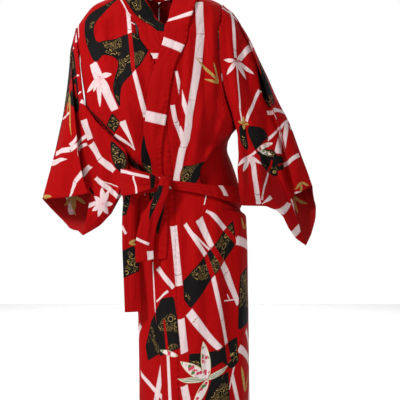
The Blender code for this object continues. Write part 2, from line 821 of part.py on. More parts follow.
def by_length(points, t):
    """Point at the share t of the length of a polyline."""
    lengths = [0.0]
    for a, b in zip(points, points[1:]):
        lengths.append(lengths[-1] + (b - a).length)
    at = t * lengths[-1]
    for i in range(len(points) - 1):
        if at <= lengths[i + 1] or i == len(points) - 2:
            span = lengths[i + 1] - lengths[i]
            return points[i].lerp(points[i + 1], (at - lengths[i]) / span)


def sleeve_point(edges, t, w, shape):
    """Point of a sheet bounded by four edges; t runs from the armhole to the mouth, w from fold to fold."""
    top, bottom, arm, mouth = edges
    a, b = top(t), bottom(t)
    c, d = arm(w), mouth(w)
    corner = top(0.0) * ((1 - t) * (1 - w)) + top(1.0) * (t * (1 - w))
    corner += bottom(0.0) * ((1 - t) * w) + bottom(1.0) * (t * w)
    point = a * (1 - w) + b * w + c * (1 - t) + d * t - corner
    point.y += shape * math.sin(math.pi * w) * math.sin(math.pi * t)
    return point


def mouth_curve(table, start_y, end_y, bulge):
    """Edge of the mouth from its outline, bulging to the front or back between its two ends."""
    points = [place(c, r, 0.0) for c, r in table]
    total = sum((b - a).length for a, b in zip(points, points[1:]))
    length = 0.0
    for i, p in enumerate(points):
        if i:
            length += (Vector((p.x, 0, p.z)) - Vector((points[i - 1].x, 0, points[i - 1].z))).length
        share = min(1.0, length / total)
        p.y = mix(start_y, end_y, share) + bulge * math.sin(math.pi * share) ** MOUTH_ROUND
    return points


def fold_curve(table):
    return [place(c, r, y) for c, r, y in table]


def share_of(points, count):
    """Share of a polyline's length that its first points make up."""
    steps = [(b - a).length for a, b in zip(points, points[1:])]
    return sum(steps[:count - 1]) / sum(steps)


def sleeve_grid(top, bottom, arm_front, arm_back, mouth_front, mouth_back, corners, side):
    """Rings of a sleeve from the armhole to the mouth; corners are the underarm's places on both edges."""
    strip, pleat, bulge = STRIP[side], PLEAT[side], BULGE[side]

    def edges(arm, mouth):
        return (
            lambda t: by_length(top, t),
            lambda t: by_length(bottom, t),
            lambda w: by_length(arm, w),
            lambda w: by_length(mouth, w),
        )

    front, back = edges(arm_front, mouth_front), edges(arm_back, mouth_back)
    grid = []
    for k in range(SLEEVE_STATIONS + 1):
        t = k / SLEEVE_STATIONS
        fold = mix(strip[0], strip[1], t)
        depth = pleat * smooth(t / PLEAT_START)
        ring = []
        for j in range(STRIP_COLUMNS + 1):
            w = fold * (j / STRIP_COLUMNS) ** STRIP_CROWD
            ring.append(sleeve_point(front, t, w, -bulge))
        turned = sleeve_point(front, t, fold * TURNED_PLACE, -bulge)
        turned.y += depth * TURNED_DEPTH
        ring.append(turned)
        start = fold * RECESS_START
        corner = mix(corners[0], UNDERARM_AT_MOUTH[0], t)
        recess = [mix(start, corner, (j / RECESS_COLUMNS) ** RECESS_CROWD) for j in range(RECESS_COLUMNS)]
        recess += [mix(corner, 1.0, j / RECESS_COLUMNS) for j in range(RECESS_COLUMNS + 1)]
        for w in recess:
            point = sleeve_point(front, t, w, -bulge)
            point.y += depth * (1.0 - (w - start) / (1.0 - start)) ** RECESS_FADE
            ring.append(point)
        corner = mix(corners[1], UNDERARM_AT_MOUTH[1], t)
        rising = [mix(1.0, corner, j / BACK_COLUMNS) for j in range(1, BACK_COLUMNS)]
        rising += [mix(corner, 0.0, j / BACK_COLUMNS) for j in range(BACK_COLUMNS)]
        for w in rising:
            ring.append(sleeve_point(back, t, w, bulge))
        grid.append(ring)
    return grid


RIGHT_FREE_EDGE = (
    # column, row, lift: front edge of the right sleeve under the armhole, beside the open front
    (94.0, 121.0, 0.0130),
    (105.0, 133.0, 0.016),
    (119.0, 146.5, 0.018),
    (127.5, 157.0, 0.022),
    (128.5, 170.0, 0.025),
    (127.5, 181.0, 0.026),
)
RIGHT_BACK_EDGE = (
    # angle, row, lift: back edge of the right sleeve under the armhole, outside the body
    (-104.0, 122.0, 0.010),
    (-94.0, 136.0, 0.016),
    (-84.0, 152.0, 0.021),
    (-76.0, 168.0, 0.024),
    (-68.0, 181.0, 0.026),
)
LEFT_FREE_EDGE = (
    # column, row, depth y: front edge of the left sleeve from the underarm to the wrist
    (237.5, 136.0, -0.082),
    (238.5, 152.0, -0.118),
    (237.5, 170.0, -0.160),
    (238.5, 184.0, -0.190),
    (239.5, 195.0, -0.200),
)
LEFT_BACK_EDGE = (
    # column, row, depth y: back edge of the left sleeve from the underarm to the wrist
    (243.0, 136.0, 0.018),
    (245.0, 152.0, -0.014),
    (246.0, 168.0, -0.054),
    (246.0, 184.0, -0.100),
    (244.0, 197.0, -0.142),
)


def make_sleeve_right(bodies):
    front, yoke, back = bodies[-1]
    half = len(yoke) // 2
    top = fold_curve(SLEEVE_RIGHT_TOP)
    bottom = fold_curve(SLEEVE_RIGHT_BOTTOM)
    arm_front = armhole(yoke[half - 1::-1] + front, UNDERARM_ROW_RIGHT, -1)
    arm_back = armhole(yoke[half + 1:] + back, UNDERARM_ROW_RIGHT, -1)
    seams = len(arm_front) + 1, len(arm_back) + 1
    for column, row, lift in RIGHT_FREE_EDGE:
        arm_front.append(point_at(row, column, lift))
    for angle, row, lift in RIGHT_BACK_EDGE:
        arm_back.append(section_point(row, angle, lift))
    arm_front = [top[0]] + arm_front + [bottom[0]]
    arm_back = [top[0]] + arm_back + [bottom[0]]
    mouth_front = mouth_curve(SLEEVE_RIGHT_MOUTH_FRONT, top[-1].y, bottom[-1].y, -SPREAD[-1][0])
    mouth_back = mouth_curve(SLEEVE_RIGHT_MOUTH_BACK[::-1], top[-1].y, bottom[-1].y, SPREAD[-1][1])
    corners = share_of(arm_front, seams[0]), share_of(arm_back, seams[1])
    grid = sleeve_grid(top, bottom, arm_front, arm_back, mouth_front, mouth_back, corners, -1)
    return panel_solid("sleeve_right", grid, CLOTH_WALL, RED_CLOTH, ring=True)


def make_sleeve_left(bodies):
    front, yoke, back = bodies[1]
    half = len(yoke) // 2
    top = fold_curve(SLEEVE_LEFT_TOP)
    bottom = fold_curve(SLEEVE_LEFT_BOTTOM)
    arm_front = armhole(yoke[half - 1::-1] + front, UNDERARM_ROW_LEFT, 1)
    arm_back = armhole(yoke[half + 1:] + back, UNDERARM_ROW_LEFT_BACK, 1)
    seams = len(arm_front) + 1, len(arm_back) + 1
    arm_front = [top[0]] + arm_front + fold_curve(LEFT_FREE_EDGE) + [bottom[0]]
    arm_back = [top[0]] + arm_back + fold_curve(LEFT_BACK_EDGE) + [bottom[0]]
    mouth_front = mouth_curve(SLEEVE_LEFT_MOUTH_FRONT, top[-1].y, bottom[-1].y, -SPREAD[1][0])
    mouth_back = mouth_curve(SLEEVE_LEFT_MOUTH_BACK[::-1], top[-1].y, bottom[-1].y, SPREAD[1][1])
    corners = share_of(arm_front, seams[0]), share_of(arm_back, seams[1])
    grid = sleeve_grid(top, bottom, arm_front, arm_back, mouth_front, mouth_back, corners, 1)
    return panel_solid("sleeve_left", grid, CLOTH_WALL, RED_CLOTH, ring=True)


# Belt: a long band of the robe's own cloth, tied on the wearer's right in a half bow.

BELT_STEPS = 52
BELT_COLUMNS = 3
TAIL_COLUMNS = 4
LOOP_COLUMNS = 4


def make_belt_band():
    grid = []
    for j in range(BELT_COLUMNS + 1):
        ring = []
        for k in range(BELT_STEPS):
            angle = -180.0 + 360.0 * k / BELT_STEPS
            row = read(BELT_LINE, angle, 1) + (2.0 * j / BELT_COLUMNS - 1.0) * read(BELT_LINE, angle, 2)
            ring.append(section_point(row, angle, read(BELT_LINE, angle, 3)))
        grid.append(ring)
    return panel_solid("belt_band", grid, BELT_WALL, DEEP_RED, ring=True)


def make_tail(name, stations):
    """Hanging end of the belt, its width turning as the band turns down from the knot."""
    grid = []
    for column, row, y, half, tilt, cup in stations:
        middle = place(column, row, y)
        turn = math.radians(tilt)
        across = Vector((math.cos(turn), 0.0, math.sin(turn))) * (half / DRAWING_UNITS)
        line = []
        for j in range(TAIL_COLUMNS + 1):
            s = 2.0 * j / TAIL_COLUMNS - 1.0
            line.append(middle + across * s + Vector((0.0, cup * s * s, 0.0)))
        grid.append(line)
    return panel_solid(name, grid, BELT_WALL, DEEP_RED)


def make_loop():
    grid = []
    for column, row, lift, half in LOOP:
        line = []
        for j in range(LOOP_COLUMNS + 1):
            s = 2.0 * j / LOOP_COLUMNS - 1.0
            middle = point_at(row, column, lift)
            line.append(middle + Vector((0.0, 0.0, -s * half / DRAWING_UNITS)))
        grid.append(line)
    return panel_solid("belt_loop", grid, BELT_WALL, DEEP_RED)


def make_knot():
    """Knot: a short thick turn of the band, pinched in the middle and closed at both ends."""
    top, end = place(*KNOT_TOP), place(*KNOT_END)
    axis = (end - top).normalized()
    side = Vector((0.0, 1.0, 0.0)).cross(axis).normalized()
    shape = bmesh.new()
    rings = []
    for i in range(KNOT_STEPS + 1):
        share = i / KNOT_STEPS
        middle = top.lerp(end, share)
        wide, deep = read(KNOT, share, 1), read(KNOT, share, 2)
        ring = []
        for k in range(KNOT_SIDES):
            turn = 2.0 * math.pi * k / KNOT_SIDES
            ripple = 1.0 + KNOT_RIPPLE * math.cos(3.0 * turn + 2.0 * share)
            offset = side * (math.cos(turn) * wide * ripple) + Vector((0.0, math.sin(turn) * deep * ripple, 0.0))
            ring.append(shape.verts.new(middle + offset))
        rings.append(ring)
    for a, b in zip(rings, rings[1:]):
        for k in range(KNOT_SIDES):
            n = (k + 1) % KNOT_SIDES
            shape.faces.new((a[k], a[n], b[n], b[k]))
    shape.faces.new(rings[0][::-1])
    shape.faces.new(rings[-1])
    return finish_solid("belt_knot", shape, DEEP_RED)


def main():
    clear_scene()
    bodies = {side: body_rows(side) for side in (-1, 1)}
    make_body("body_right", bodies[-1])
    make_body("body_left", bodies[1])
    make_overlap("overlap_right", -1, OVERLAP_RIGHT_START, OVERLAP_RIGHT_EDGE)
    make_overlap("overlap_left", 1, OVERLAP_LEFT_START, OVERLAP_LEFT_EDGE)
    make_collar(bodies)
    make_sleeve_right(bodies)
    make_sleeve_left(bodies)
    make_belt_band()
    make_knot()
    make_loop()
    make_tail("belt_tail_long", TAIL_LONG)
    make_tail("belt_tail_short", TAIL_SHORT)


main()
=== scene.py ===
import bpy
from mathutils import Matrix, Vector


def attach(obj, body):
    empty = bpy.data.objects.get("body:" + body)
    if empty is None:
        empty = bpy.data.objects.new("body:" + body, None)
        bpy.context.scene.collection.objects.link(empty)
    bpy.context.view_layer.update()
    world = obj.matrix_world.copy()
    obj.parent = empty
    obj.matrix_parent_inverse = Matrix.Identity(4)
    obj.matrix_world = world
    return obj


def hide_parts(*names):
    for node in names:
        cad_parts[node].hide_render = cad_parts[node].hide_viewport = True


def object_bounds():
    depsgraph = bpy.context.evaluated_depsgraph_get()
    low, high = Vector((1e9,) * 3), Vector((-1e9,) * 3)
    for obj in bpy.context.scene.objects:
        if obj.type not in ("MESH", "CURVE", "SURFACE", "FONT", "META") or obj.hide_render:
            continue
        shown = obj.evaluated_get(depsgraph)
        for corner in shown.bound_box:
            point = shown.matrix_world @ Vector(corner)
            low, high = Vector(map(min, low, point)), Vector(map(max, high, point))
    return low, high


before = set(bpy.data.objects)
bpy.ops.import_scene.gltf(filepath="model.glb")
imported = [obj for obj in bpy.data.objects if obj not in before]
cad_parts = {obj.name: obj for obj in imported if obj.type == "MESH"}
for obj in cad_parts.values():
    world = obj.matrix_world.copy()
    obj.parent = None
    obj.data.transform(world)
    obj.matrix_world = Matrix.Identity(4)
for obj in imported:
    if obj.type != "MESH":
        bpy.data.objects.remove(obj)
cad_box = [list(corner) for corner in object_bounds()]

import math

import bmesh
import bpy
import numpy as np
from mathutils import Vector

# Body: one long length of printed cotton on each side, from the back hem over the shoulder to the
# front hem. Both lengths are sewn to each other down the middle of the back, and under the open
# underarms each front is sewn to its back along the side seam.

# The forms are laid out on a front drawing: columns run to the wearer's left, rows run down.
DRAWING_UNITS = 430.0  # drawing units in one metre
NECK_COLUMN = 165.0  # drawing column of x = 0
NECK_ROW = -8.0  # drawing row of z = 0, the shoulder line beside the neck
VIEW_CENTRE = 200.0  # middle column and row of the drawing
VIEW_DISTANCE = 2.6  # the drawing shows the robe from this far in front of it
FRONT_DEPTH = -0.115  # usual depth y of the front edges
SIDE_DEPTH = -0.050  # usual depth y of the front armholes and underarm edges
LAYER_STEP = 0.0036  # one layer of cloth lies this far outside the next one in
SEAM_GAP = 0.0002  # clearance between two pieces along a seam
YOKE_ROW = 30.0  # above this row the cloth turns over the shoulder
UNDERARM_ROW_RIGHT = 112.0  # end of the sewn armhole on the wearer's right
UNDERARM_ROW_LEFT = 126.0  # end of the sewn armhole on the wearer's left
UNDERARM_ROW_LEFT_BACK = 122.0  # the same behind
SIDE_SEAM_ROW = 216.0  # start of the side seams under the open underarms
SECTION_POWER = 0.86  # below 1 makes the sections squarer than an ellipse

# row: drawing row; left, right: widest columns; front, back: depth of the section in metres
BODY = (
    # row,   left,  right, front, back
    (30, 64, 238, 0.088, 0.082),
    (60, 67, 239, 0.108, 0.094),
    (90, 72, 240, 0.122, 0.097),
    (112, 79, 242, 0.124, 0.094),
    (126, 90, 240, 0.12, 0.09),
    (143, 104, 226, 0.114, 0.085),
    (160, 114, 230.5, 0.106, 0.081),
    (176, 119, 236, 0.102, 0.08),
    (192, 121.5, 240.5, 0.106, 0.086),
    (206, 124, 243.5, 0.112, 0.095),
    (250, 131, 246, 0.124, 0.114),
    (313, 139.5, 247.2, 0.127, 0.118),
    (400, 141, 248, 0.129, 0.121),
    (584, 141, 250, 0.134, 0.126),
)

# Shoulder line seen from the front, from one armhole over the neck to the other.
SHOULDER = (
    # column, row
    (78, 28.5), (82, 22.5), (96, 6.5), (115, -1), (135, -7), (158, -8), (182, -6),
    (199, -1.5), (212, 1.5), (222, 5.5),
)

# Front edges of the four front pieces, and the edges beside the armholes and open underarms.
RIGHT_FRONT_INNER = (
    # row, column
    (30, 135), (62, 155), (95, 169), (125, 177), (150, 178.5), (178, 174), (200, 177),
    (250, 189), (313, 196), (400, 199), (584, 202),
)
RIGHT_FRONT_OUTER = (
    # row, column
    (30, 78), (60, 80), (90, 84), (112, 88.5), (121, 97), (134, 107), (147, 120),
    (158, 129.5), (166, 140), (174, 149), (182, 151), (192, 143), (204, 132), (216, 126),
)
LEFT_FRONT_INNER = (
    # row, column
    (30, 187.5), (45, 182.5), (57, 176), (71, 171.8), (87, 168.5), (112, 165.5),
    (125, 166.5), (150, 170), (176, 172.5), (200, 174.5), (288, 177), (358, 178.5),
    (400, 179.5), (584, 182),
)
LEFT_FRONT_OUTER = (
    # row, column
    (30, 218), (60, 220), (95, 224.5), (118, 231), (126, 234.5), (132, 232.5), (144, 221.5),
    (161, 207), (171, 200.5), (182, 200), (192, 209), (204, 228), (216, 245),
)
CENTRE_BACK = (
    # row, column of the seam between both backs
    (30, 157.5), (90, 161), (143, 169), (192, 179.5), (250, 188), (313, 193), (584, 195.5),
)

# Back armholes and back underarm edges, as angles round the section from the front centre.
BACK_EDGE_RIGHT = (
    # row, angle
    (30, -122), (90, -120), (112, -112), (126, -82), (143, -62), (160, -48), (178, -36),
    (200, -62), (216, -90), (584, -90),
)
BACK_EDGE_LEFT = (
    # row, angle
    (30, 122), (90, 120), (112, 114), (126, 96), (143, 56), (160, 27), (176, 18), (190, 19),
    (202, 32), (216, 90), (584, 90),
)


def slope(table, i, column):
    """Slope of a column at row i of the table, limited so that the curve never overshoots its rows."""
    if i == 0 or i == len(table) - 1:
        return 0.0 if len(table) < 3 else end_slope(table, i, column)
    before = (table[i][column] - table[i - 1][column]) / (table[i][0] - table[i - 1][0])
    after = (table[i + 1][column] - table[i][column]) / (table[i + 1][0] - table[i][0])
    if before * after <= 0.0:
        return 0.0
    return 2.0 * before * after / (before + after)


def end_slope(table, i, column):
    other = 1 if i == 0 else i - 1
    return (table[other][column] - table[i][column]) / (table[other][0] - table[i][0])


def read(table, at, column=1):
    """Value of a column where the table's first column equals at, on a smooth curve through its rows."""
    if at <= table[0][0]:
        return table[0][column]
    if at >= table[-1][0]:
        return table[-1][column]
    i = max(k for k in range(len(table) - 1) if table[k][0] <= at)
    span = table[i + 1][0] - table[i][0]
    t = (at - table[i][0]) / span
    start, end = table[i][column], table[i + 1][column]
    rise, fall = slope(table, i, column) * span, slope(table, i + 1, column) * span
    return (
        start * (2 * t**3 - 3 * t**2 + 1)
        + rise * (t**3 - 2 * t**2 + t)
        + end * (3 * t**2 - 2 * t**3)
        + fall * (t**3 - t**2)
    )


def smooth(t):
    t = min(1.0, max(0.0, t))
    return t * t * (3.0 - 2.0 * t)


def mix(a, b, t):
    return a + (b - a) * t


def to_x(column):
    return (column - NECK_COLUMN) / DRAWING_UNITS


def to_z(row):
    return (NECK_ROW - row) / DRAWING_UNITS


def true(value, y):
    """Drawing column or row in the plane y = 0 of a place drawn at value and lying at depth y."""
    return VIEW_CENTRE + (value - VIEW_CENTRE) * (1.0 + y / VIEW_DISTANCE)


def drawn(value, y):
    """The other way round: where a place of the plane y = 0 would be drawn if it lay at depth y."""
    return VIEW_CENTRE + (value - VIEW_CENTRE) / (1.0 + y / VIEW_DISTANCE)


def place(column, row, y):
    return Vector((to_x(true(column, y)), y, to_z(true(row, y))))


def rounded(value):
    return math.copysign(abs(value) ** SECTION_POWER, value)


def section_point(row, angle, lift=0.0):
    """Point of the body section: angle 0 is the front centre, +90 the wearer's left side, 180 the back."""
    left, right = to_x(read(BODY, row, 1)), to_x(read(BODY, row, 2))
    turn = math.radians(angle)
    depth = read(BODY, row, 3 if math.cos(turn) > 0.0 else 4) + lift
    x = (left + right) / 2 + ((right - left) / 2 + lift) * rounded(math.sin(turn))
    return Vector((x, -depth * rounded(math.cos(turn)), to_z(row)))


def angle_at(row, column, lift=0.0):
    """Front angle at which the section of this row, moved out by lift, crosses the drawing column."""
    left, right = read(BODY, row, 1), read(BODY, row, 2)
    depth = read(BODY, row, 3) + lift
    cosine = 0.8
    for _ in range(4):
        across = true(column, -depth * cosine**SECTION_POWER) - (left + right) / 2
        share = max(-1.0, min(1.0, across / ((right - left) / 2 + lift * DRAWING_UNITS)))
        sine = abs(share) ** (1 / SECTION_POWER)
        cosine = math.sqrt(1.0 - sine * sine)
    return math.degrees(math.asin(math.copysign(sine, share)))


def point_at(row, column, lift):
    """Point over the front of the body at a drawing row and column, this far outside it."""
    return section_point(row, angle_at(row, column, lift), lift)


FOLD_DEPTH = 0.0032  # depth of the skirt's large hanging folds
FOLD_START = 205.0  # row under the belt where these folds begin
FOLD_GROWTH = 120.0  # rows over which they reach their full depth
LARGE_FOLDS = 4.0  # large folds round the skirt
LARGE_FOLD_TURN = 0.9  # their place round the skirt in radians
SMALL_FOLDS = 7.0  # folds between them
SMALL_FOLD_SHARE = 0.55  # the small folds are this much as deep
SMALL_FOLD_DRIFT = 160.0  # rows over which the small folds wander by one radian


def skirt_folds(row, angle):
    """Hanging folds of the skirt, as a distance in or out of the section."""
    turn = math.radians(angle)
    large = math.sin(turn * LARGE_FOLDS + LARGE_FOLD_TURN)
    small = math.sin(turn * SMALL_FOLDS + row / SMALL_FOLD_DRIFT)
    return FOLD_DEPTH * smooth((row - FOLD_START) / FOLD_GROWTH) * (large + SMALL_FOLD_SHARE * small)


BODY_COLUMNS = 10
YOKE_STEPS = 12
YOKE_DROP = 32.0  # the turn over the shoulder starts this far under the shoulder line
YOKE_FADE = 90.0  # rows over which the slanted yoke evens out to level rows
YOKE_SLOPE = 0.85  # below 1 makes the turn over the shoulder fuller beside the neck
YOKE_FLAT = 0.70  # the same for its depth
BACK_SLOPE = 0.60  # the same behind the neck, where the neckline is nearly level
NECK_CENTRE = 158.0  # drawing column of the back of the neck
NECK_TURN = 135.0  # degrees over the shoulder at which both backs meet behind the neck
FRONT_ROWS = (30, 40, 50, 60, 70, 80, 91, 102, 112, 121, 131, 141, 151, 161, 170, 179, 188, 197, 206, 216,
              230, 246, 264, 284, 306, 330, 356, 384, 414, 446, 480, 516, 550, 584)
BACK_ROWS = (30, 44, 60, 78, 96, 112, 124, 136, 150, 164, 178, 190, 202, 216,
             234, 256, 280, 306, 336, 368, 402, 438, 476, 514, 550, 584)
SIDE_BLEND = 34.0  # degrees over which a front comes out from the side seam to its own layer
FRONT_CLOSE = 30.0  # rows over which the open front edge closes into the side seam
NECK_COLUMNS = {-1: 119.0, 1: 197.0}
ARM_COLUMNS = {-1: 78.0, 1: 222.0}
FRONT_LAYERS = {-1: 2.0, 1: 4.0}
INNER_EDGES = {-1: RIGHT_FRONT_INNER, 1: LEFT_FRONT_INNER}
OUTER_EDGES = {-1: RIGHT_FRONT_OUTER, 1: LEFT_FRONT_OUTER}
BACK_EDGES = {-1: BACK_EDGE_RIGHT, 1: BACK_EDGE_LEFT}


def slanted(row, side, share):
    """Row of a point at this share from neck to arm: the upper rows follow the slope of the shoulder."""
    ridge = read(SHOULDER, mix(NECK_COLUMNS[side], ARM_COLUMNS[side], share))
    drop = ridge + YOKE_DROP - YOKE_ROW
    return row + drop * (1.0 - smooth((row - YOKE_ROW) / YOKE_FADE))


def front_lift(row, angle, side, layers):
    """How far a front lies outside the back: nothing at the side seam, all its layers further in."""
    away = smooth((90.0 - abs(angle)) / SIDE_BLEND) if angle * side > 0 else 1.0
    free = 1.0 - smooth((row - SIDE_SEAM_ROW + FRONT_CLOSE) / FRONT_CLOSE)
    return LAYER_STEP * layers * max(away, free)


def front_point(row, angle, side, layers):
    lift = front_lift(row, angle, side, layers) + skirt_folds(row, angle)
    return section_point(row, angle, lift)


def front_row(row, side):
    """Points of a front from its inner edge to its armhole, underarm or side edge."""
    line = []
    for j in range(BODY_COLUMNS + 1):
        share = j / BODY_COLUMNS
        level = slanted(row, side, share)
        layer = LAYER_STEP * FRONT_LAYERS[side]
        start = angle_at(level, read(INNER_EDGES[side], drawn(level, FRONT_DEPTH)), layer)
        end = side * 90.0
        if row < SIDE_SEAM_ROW:
            end = angle_at(level, read(OUTER_EDGES[side], drawn(level, SIDE_DEPTH)), layer)
        line.append(front_point(level, mix(start, end, share), side, FRONT_LAYERS[side]))
    if row >= SIDE_SEAM_ROW:
        line[-1].y -= SEAM_GAP
    return line


def centre_back_angle(row, side):
    """Angle of the centre-back seam, near 180 degrees, as each side's back counts it."""
    left, right = read(BODY, row, 1), read(BODY, row, 2)
    share = (read(CENTRE_BACK, row) - (left + right) / 2) / ((right - left) / 2)
    turn = math.degrees(math.asin(math.copysign(abs(share) ** (1 / SECTION_POWER), share)))
    return side * 180.0 - turn


def back_row(row, side):
    """Points of a back from the centre-back seam to its armhole, underarm or side edge."""
    line = []
    for j in range(BODY_COLUMNS + 1):
        share = j / BODY_COLUMNS
        level = slanted(row, side, share)
        angle = mix(centre_back_angle(level, side), read(BACK_EDGES[side], level), share)
        line.append(section_point(level, angle, skirt_folds(level, angle)))
    line[0].x += side * SEAM_GAP
    if row >= SIDE_SEAM_ROW:
        line[-1].y += SEAM_GAP
    return line


def yoke_row(front, back, side, degrees):
    """Row that carries the cloth over the shoulder line, degrees counted from the front to the back."""
    turn = math.radians(degrees)
    base = front if degrees < 90.0 else back
    share = math.sin(turn) ** YOKE_SLOPE
    neck_x = to_x(NECK_COLUMNS[side])
    arm_x = to_x(ARM_COLUMNS[side])
    inner_x = mix(base[0].x, neck_x, share)
    if degrees > 90.0:
        centre_x = to_x(NECK_CENTRE) + side * SEAM_GAP
        inner_x = mix(neck_x, centre_x, smooth((degrees - 90.0) / (NECK_TURN - 90.0)))
        if degrees > NECK_TURN:
            inner_x = mix(centre_x, base[0].x, (degrees - NECK_TURN) / (180.0 - NECK_TURN))
    outer_x = mix(base[-1].x, arm_x, share)
    line = []
    for j in range(BODY_COLUMNS + 1):
        across = (base[j].x - base[0].x) / (base[-1].x - base[0].x)
        x = mix(inner_x, outer_x, across)
        ridge = to_z(read(SHOULDER, x * DRAWING_UNITS + NECK_COLUMN))
        flat = mix(YOKE_FLAT, 1.0, across)
        y = base[j].y * abs(math.cos(turn)) ** flat
        full = mix(YOKE_SLOPE if degrees < 90.0 else BACK_SLOPE, 1.0, across)
        line.append(Vector((x, y, mix(base[j].z, ridge, math.sin(turn) ** full))))
    return line


def body_rows(side):
    """Fronts, the turn over the shoulder from front to back, and backs, as three lists of rows."""
    front = [front_row(row, side) for row in FRONT_ROWS]
    back = [back_row(row, side) for row in BACK_ROWS]
    degrees = [180.0 * step / YOKE_STEPS for step in range(1, YOKE_STEPS)]
    yoke = [yoke_row(front[0], back[0], side, turn) for turn in degrees]
    return front, yoke, back


CLOTH_STEP = 0.0040  # distance between the points of the finished cloth
CLOTH_THICK = 0.0009
TROUGH_ROUND = 0.25  # the bottom of a trough is rounded over this share of its width


def spread(points, step):
    """Lines of points at even steps on smooth curves through the given lines of points."""
    gaps = np.linalg.norm(np.diff(points, axis=0), axis=2).mean(axis=1)
    at = np.concatenate([[0.0], np.cumsum(gaps)])
    wanted = np.linspace(0.0, at[-1], max(4, round(at[-1] / step)) + 1)
    rise = np.diff(points, axis=0) / gaps[:, None, None]
    product = rise[:-1] * rise[1:]
    total = rise[:-1] + rise[1:]
    inner = np.where(product > 0.0, 2.0 * product / np.where(total == 0.0, 1.0, total), 0.0)
    lean = np.concatenate([rise[:1], inner, rise[-1:]])
    i = np.clip(np.searchsorted(at, wanted, side="right") - 1, 0, len(gaps) - 1)
    span = gaps[i][:, None, None]
    t = ((wanted - at[i]) / gaps[i])[:, None, None]
    return (
        points[i] * (2 * t**3 - 3 * t**2 + 1)
        + lean[i] * span * (t**3 - 2 * t**2 + t)
        + points[i + 1] * (3 * t**2 - 2 * t**3)
        + lean[i + 1] * span * (t**3 - t**2)
    )


def outward(points, sign, ring):
    """Unit normals of a sheet of points."""
    down = np.gradient(points, axis=0)
    across = np.gradient(points, axis=1)
    if ring:
        across[:, 0] = across[:, -1] = (points[:, 1] - points[:, -2]) / 2.0
    normal = np.cross(down, across) * sign
    return normal / np.maximum(np.linalg.norm(normal, axis=2, keepdims=True), 1e-12)


def lengths(points, axis):
    """Length of cloth from the first line of points to each of the others."""
    steps = np.linalg.norm(np.diff(points, axis=axis), axis=2)
    start = np.zeros_like(points[:1, :, 0] if axis == 0 else points[:, :1, 0])
    return np.concatenate([start, np.cumsum(steps, axis=axis)], axis=axis)


def seen_at(points):
    """Drawing columns and rows of points."""
    shrink = 1.0 / (1.0 + points[..., 1] / VIEW_DISTANCE)
    column = VIEW_CENTRE + (points[..., 0] * DRAWING_UNITS + NECK_COLUMN - VIEW_CENTRE) * shrink
    row = VIEW_CENTRE + (NECK_ROW - points[..., 2] * DRAWING_UNITS - VIEW_CENTRE) * shrink
    return column, row


def crease(points, normal, table, facing):
    """Cloth moved along round ridges and sharper troughs of the side that faces this way."""
    column, row = seen_at(points)
    shift = np.zeros(column.shape)
    for c0, r0, c1, r1, wide, deep in table:
        along = np.array([c1 - c0, r1 - r0])
        span = np.hypot(*along)
        s = ((column - c0) * along[0] + (row - r0) * along[1]) / span**2
        away = np.abs((column - c0) * along[1] - (row - r0) * along[0]) / span
        over = np.clip(np.maximum(-s, s - 1.0), 0.0, None) * span
        fade = np.sin(math.pi * np.clip(s, 0.0, 1.0)) ** 0.5
        far = (away**2 + over**2) / wide**2
        if deep < 0.0:
            far = np.sqrt(far + TROUGH_ROUND**2) - TROUGH_ROUND
        shift += deep / 1000.0 * np.exp(-far) * fade
    turned = np.clip(normal[..., 1] * facing * 2.0, 0.0, 1.0)
    return points + normal * (shift * turned)[..., None]


def cloth_sheet(name, grid, sign, ring=False, step=CLOTH_STEP, front=(), back=(), even=False):
    """Finished points of a piece of cloth with its own crosswise and lengthwise measures."""
    points = np.array([[tuple(p) for p in line] for line in grid])
    points = spread(points, step)
    points = np.swapaxes(spread(np.swapaxes(points, 0, 1), step), 0, 1)
    across, down = lengths(points, 1), lengths(points, 0)
    if even:
        down = down.mean(axis=1, keepdims=True) + np.zeros_like(down)
    normal = outward(points, sign, ring)
    points = crease(points, normal, front, -1.0)
    points = crease(points, normal, back, 1.0)
    return {"name": name, "points": points, "normal": outward(points, sign, ring), "sign": sign,
            "across": across, "down": down, "print": np.stack([across, down], axis=-1), "ring": ring}


SEEN_LEAST = 0.12  # cloth turned away further than this doesn't carry a place of the drawing
REACH_STEPS = 25  # a place may lie this many points past the edge of the cloth
LAST_CHOICE = 1e3  # cloth turned the wrong way counts as this much further away


def nearest(sheet, column, row, facing=-1.0):
    """Row and column of the sheet's own point that is seen at a drawing column and row.

    A sheet with a half has the cloth behind in its first rows, up to that one, and the cloth in front
    after it. On a folded band both faces show the print, whichever way its points face.
    """
    columns, rows = seen_at(sheet["points"])
    wrong = (sheet["normal"][..., 1] * facing < SEEN_LEAST) & (not sheet.get("folded"))
    if "half" in sheet:
        first = np.arange(len(columns))[:, None] < sheet["half"]
        wrong = wrong | (first == (facing < 0.0))
    away = np.hypot(columns - column, rows - row) + LAST_CHOICE * wrong
    return np.unravel_index(np.argmin(away), away.shape)


def straight_print(sheet, column, row, hand):
    """Print measures that agree with the drawing down one line of the cloth and across another."""
    i, j = nearest(sheet, column, row)
    columns, rows = seen_at(sheet["points"])
    u = columns[:, j:j + 1] / DRAWING_UNITS + hand * (sheet["across"] - sheet["across"][:, j:j + 1])
    v = rows[i:i + 1] / DRAWING_UNITS + sheet["down"] - sheet["down"][i:i + 1]
    sheet["print"] = np.stack([u, v], axis=-1)


SEAM_ROLL = 0.0011  # the cloth dips this far into a seam
SEAM_REACH = 0.0055  # over this distance from it


def rolled_in(sheet, names):
    """Cloth that dips towards its sewn edges."""
    edges = edge_distances(sheet)
    away = np.min([edges[name] for name in names], axis=0)
    dip = SEAM_ROLL * np.exp(-((away / SEAM_REACH) ** 2))
    sheet["points"] = sheet["points"] - sheet["normal"] * dip[..., None]


